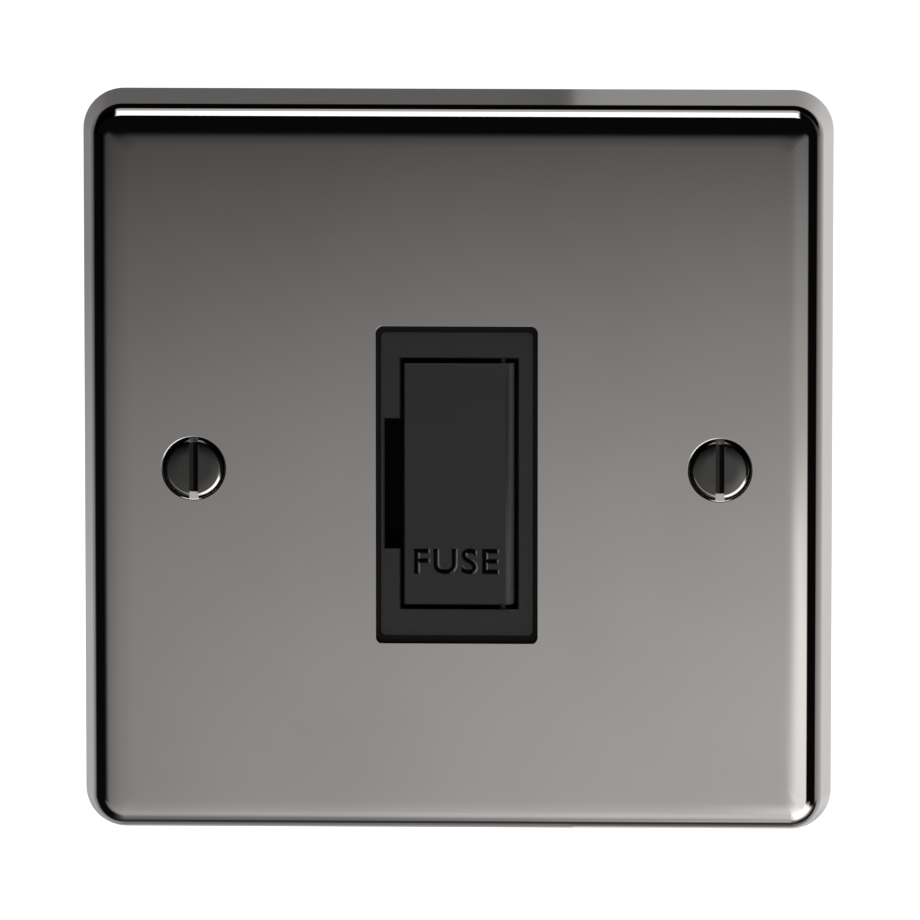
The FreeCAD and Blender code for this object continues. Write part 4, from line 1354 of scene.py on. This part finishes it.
@dataclass(frozen=True)
class Room:
    """The room that the dome stands for, before its cards.

    The floor ahead rises in light downwards and to the right. The left side is shaded, but for its
    lowest part. Elevations and azimuths are in degrees.
    """

    floor_rise: Fade = Fade(-6.8, -16.2, 0.0, math.pi / 2.0, False)
    floor_aside: Fade = Fade(-6.6, 3.4, 0.0, 1.0, False)
    floor_gain: Fade = Fade(0.0, 1.0, 0.49, 0.80, False)
    floor_least: Fade = Fade(0.0, 1.0, 0.165, 0.215, False)
    by_elevation: tuple[Fade, ...] = (Fade(-0.8, -7.8, 0.05, 1.0), Fade(-16.2, -36.0, 1.0, 1.4),
                                      Fade(-48.0, -72.0, 1.0, 0.55))
    by_azimuth: tuple[Fade, ...] = (Fade(3.4, 8.0, 1.0, 1.35), Fade(20.0, 32.0, 1.0, 0.4))
    left_shade: Fade = Fade(1.0, -45.0)
    left_belt: Fade = Fade(-27.0, -20.0, 0.45, 0.012)
    left_wall: Fade = Fade(-98.0, -124.0)
    left_wall_level: Fade = Fade(-8.5, -13.0, 0.33, 0.62, False)
    right_wall: Fade = Fade(60.0, 150.0)
    right_wall_level: Fade = Fade(-30.0, -60.0, 1.0, 0.45)
    rear_height: Fade = Fade(5.0, -8.0)
    rear_sides: Fade = Fade(156.0, 172.0, 0.0, 0.4)
    ceiling: Fade = Fade(8.0, 40.0, 1.0, 0.485)

    def level(self, tree: Tree, azimuth: bpy.types.NodeSocket,
              elevation: bpy.types.NodeSocket) -> bpy.types.NodeSocket:
        """Strength of the room's light in each direction.

        Args:
            tree: The dome's material tree.
            azimuth: Angle from straight ahead towards +X.
            elevation: Angle above the horizon.

        Returns:
            The strength's socket.
        """
        aside = self.floor_aside.across(tree, azimuth)
        lift = tree.times(tree.sum("SINE", self.floor_rise.across(tree, elevation)),
                          self.floor_gain.across(tree, aside))
        level = tree.sum("ADD", self.floor_least.across(tree, aside), lift)
        for angle, fades in ((elevation, self.by_elevation), (azimuth, self.by_azimuth)):
            level = tree.times(level, *(fade.across(tree, angle) for fade in fades))
        belt = self.left_belt.across(tree, elevation)
        shade = tree.times(self.left_shade.across(tree, azimuth), tree.less(1.0, belt))
        level = tree.times(level, tree.less(1.0, shade))
        for side, wall in ((self.left_wall, self.left_wall_level), (self.right_wall, self.right_wall_level)):
            level = tree.toward(level, wall.across(tree, elevation), side.across(tree, azimuth))
        rear = tree.times(self.rear_height.across(tree, elevation),
                          self.rear_sides.across(tree, tree.sum("ABSOLUTE", azimuth)))
        return tree.times(level, tree.less(1.0, rear), self.ceiling.across(tree, elevation))


@dataclass
class Studio:
    """Floor, world, lamps and the dome of cards that polished metal reflects.

    The cards' angles are counted from a horizon that is lean_degrees above the true one. At
    mirror_degrees below that horizon, the plate's face mirrors the middle of the photo's view.
    """

    dome_radius: float = 0.8
    floor_drop: float = 0.30
    floor_size: float = 8.0
    floor_shade: float = 0.82
    floor_roughness: float = 0.9
    floor_glow: float = 0.5
    plain_light: float = 0.62
    mirror_degrees: float = 11.3
    lean_degrees: float = 2.3

    def dome(self) -> None:
        """Adds the dome, which only glossy rays see."""
        mesh = bmesh.new()
        bmesh.ops.create_uvsphere(mesh, u_segments=96, v_segments=48, radius=self.dome_radius)
        dome = from_bmesh("reflection_dome", mesh)
        for ray in ("camera", "diffuse", "shadow", "transmission", "volume_scatter"):
            setattr(dome, "visible_" + ray, False)
        made = bpy.data.materials.new("reflection_cards")
        made.use_nodes = True
        made.node_tree.nodes.clear()
        tree = Tree(made.node_tree)
        emission = tree.add("ShaderNodeEmission")
        tree.join(self.pattern(tree), emission.inputs["Strength"])
        tree.join(emission.outputs[0], tree.add("ShaderNodeOutputMaterial").inputs["Surface"])
        made.cycles.emission_sampling = "NONE"
        dome.data.materials.append(made)

    def pattern(self, tree: Tree) -> bpy.types.NodeSocket:
        """Strength of the dome's light in each direction.

        Args:
            tree: The dome's material tree.

        Returns:
            The strength's socket.
        """
        where = tree.add("ShaderNodeVectorMath", operation="NORMALIZE")
        tree.join(tree.place(), where.inputs[0])
        across, back, up = tree.parts(where.outputs[0])
        ahead = tree.times(back, -1.0)
        azimuth = tree.degrees("ARCTAN2", across, ahead)
        elevation = tree.less(tree.degrees("ARCSINE", up), self.lean_degrees)
        pitch = tree.less(tree.degrees("ARCTAN2", up, ahead), self.lean_degrees)
        aside = tree.degrees("ARCSINE", across)
        tilt = math.radians(self.mirror_degrees - self.lean_degrees)
        along = tree.less(tree.times(ahead, math.cos(tilt)), tree.times(up, math.sin(tilt)))
        rise = tree.sum("ADD", tree.times(ahead, math.sin(tilt)), tree.times(up, math.cos(tilt)))
        away, clock = tree.degrees("ARCCOSINE", along), tree.degrees("ARCTAN2", rise, across)
        pairs = {Measure.ROUND: (azimuth, elevation), Measure.OVER: (pitch, aside), Measure.CLOCK: (away, clock)}
        level = Room().level(tree, azimuth, elevation)
        for card in CARDS:
            masks = []
            for value, middle, half, edge in zip(pairs[card.kind], card.middle, card.half, card.edge):
                distance = tree.sum("ABSOLUTE", tree.less(value, middle))
                masks.append(tree.spread(distance, half + edge / 2.0, half - edge / 2.0))
            level = tree.toward(level, card.level, tree.times(*masks))
        return level

    def floor(self) -> None:
        """Adds the plain pale floor, white to the camera away from the shadow."""
        mesh = bmesh.new()
        bmesh.ops.create_grid(mesh, x_segments=1, y_segments=1, size=self.floor_size)
        floor = from_bmesh("plain_floor", mesh)
        floor.location = (0.0, 0.0, -self.floor_drop)
        floor.visible_glossy = False
        made, tree, shader = new_material("pale_floor")
        shader.inputs["Base Color"].default_value = (self.floor_shade, self.floor_shade, self.floor_shade, 1.0)
        shader.inputs["Roughness"].default_value = self.floor_roughness
        shader.inputs["Specular IOR Level"].default_value = 0.0
        shader.inputs["Emission Color"].default_value = (1.0, 1.0, 1.0, 1.0)
        seen = tree.add("ShaderNodeLightPath").outputs["Is Camera Ray"]
        tree.join(tree.times(seen, self.floor_glow), shader.inputs["Emission Strength"])
        floor.data.materials.append(made)

    def world(self) -> None:
        """Lights the room plainly and shows white to the camera and in gloss."""
        world = bpy.data.worlds.new("plain_room")
        world.use_nodes = True
        bpy.context.scene.world = world
        tree = Tree(world.node_tree)
        back = world.node_tree.nodes["Background"]
        back.inputs["Color"].default_value = (1.0, 1.0, 1.0, 1.0)
        path = tree.add("ShaderNodeLightPath")
        seen = path.outputs["Is Camera Ray"]
        for ray in ("Is Glossy Ray", "Is Transmission Ray"):
            seen = tree.sum("ADD", seen, path.outputs[ray], True)
        tree.join(tree.spread(seen, 0.0, 1.0, self.plain_light, 1.0, False), back.inputs["Strength"])

    def build(self) -> None:
        """Sets up the whole studio."""
        self.world()
        self.floor()
        self.dome()
        for lamp in LAMPS:
            lamp.build()
        bpy.context.scene.view_settings.view_transform = "Standard"


@dataclass
class ViewPoint:
    """The camera at the photograph's viewpoint."""

    azimuth_degrees: float = 1.5
    elevation_degrees: float = 9.0
    distance: float = 1.5
    pixels_across: float = 920.0
    pixels_per_mm: float = 8.733
    middle_px: tuple[float, float] = (456.7, 469.1)
    sensor_mm: float = 36.0
    clip: tuple[float, float] = (0.05, 50.0)

    def build(self) -> None:
        """Makes the camera and aims it at the middle of the plate's face."""
        azimuth, elevation = (math.radians(value) for value in (self.azimuth_degrees, self.elevation_degrees))
        back = Vector((math.sin(azimuth) * math.cos(elevation), -math.cos(azimuth) * math.cos(elevation),
                       math.sin(elevation)))
        half = self.pixels_across / 2.0
        camera_data = bpy.data.cameras.new("photo_view")
        camera_data.sensor_width = self.sensor_mm
        camera_data.lens = self.sensor_mm * self.distance * self.pixels_per_mm / (self.pixels_across * MM)
        camera_data.shift_x = (half - self.middle_px[0]) / self.pixels_across
        camera_data.shift_y = (self.middle_px[1] - half) / self.pixels_across
        camera_data.clip_start, camera_data.clip_end = self.clip
        camera = bpy.data.objects.new("photo_view", camera_data)
        camera.location = Vector((0.0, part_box("front_plate")[0].y, 0.0)) + back * self.distance
        camera.rotation_euler = (-back).to_track_quat("-Z", "Y").to_euler()
        bpy.context.scene.collection.objects.link(camera)
        bpy.context.scene.camera = camera


def screws(wardrobe: Wardrobe) -> list[tuple[SlottedScrew, Vector]]:
    """Lists every screw with the way that its head faces."""
    made = []
    for side in ("left", "right"):
        fixing = SlottedScrew("fixing_screw_" + side, "fixing_screw_metal", Body.UNIT, wardrobe, 3.5, 6.6, 0.0,
                              0.6, countersunk=True, neck_mm=1.2, edge_mm=0.4, steps=96)
        made.append((fixing, OUTWARD))
        holding = SlottedScrew("housing_screw_" + side, "screw_steel", Body.UNIT, wardrobe, 3.0, 5.4, 1.7, 0.5)
        made.append((holding, INWARD))
    for row in ("feed", "load"):
        for name in ("live", "earth", "neutral"):
            clamp = SlottedScrew("%s_%s_screw" % (row, name), "screw_steel", Body.UNIT, wardrobe, 3.5, 5.4, 1.8,
                                 0.6)
            made.append((clamp, INWARD))
    return made


def main() -> None:
    """Builds the scene in order."""
    logging.basicConfig(level=logging.INFO, format="%(name)s: %(message)s")
    wardrobe = Wardrobe()
    wardrobe.dress_frame()
    FrontPlate(wardrobe).build()
    MarkedCarrier(wardrobe).build()
    Cartridge(wardrobe).build()
    for screw, facing in screws(wardrobe):
        screw.build(facing)
    EasedCopies(wardrobe).build()
    Studio().build()
    ViewPoint().build()


if __name__ == "__main__":
    main()
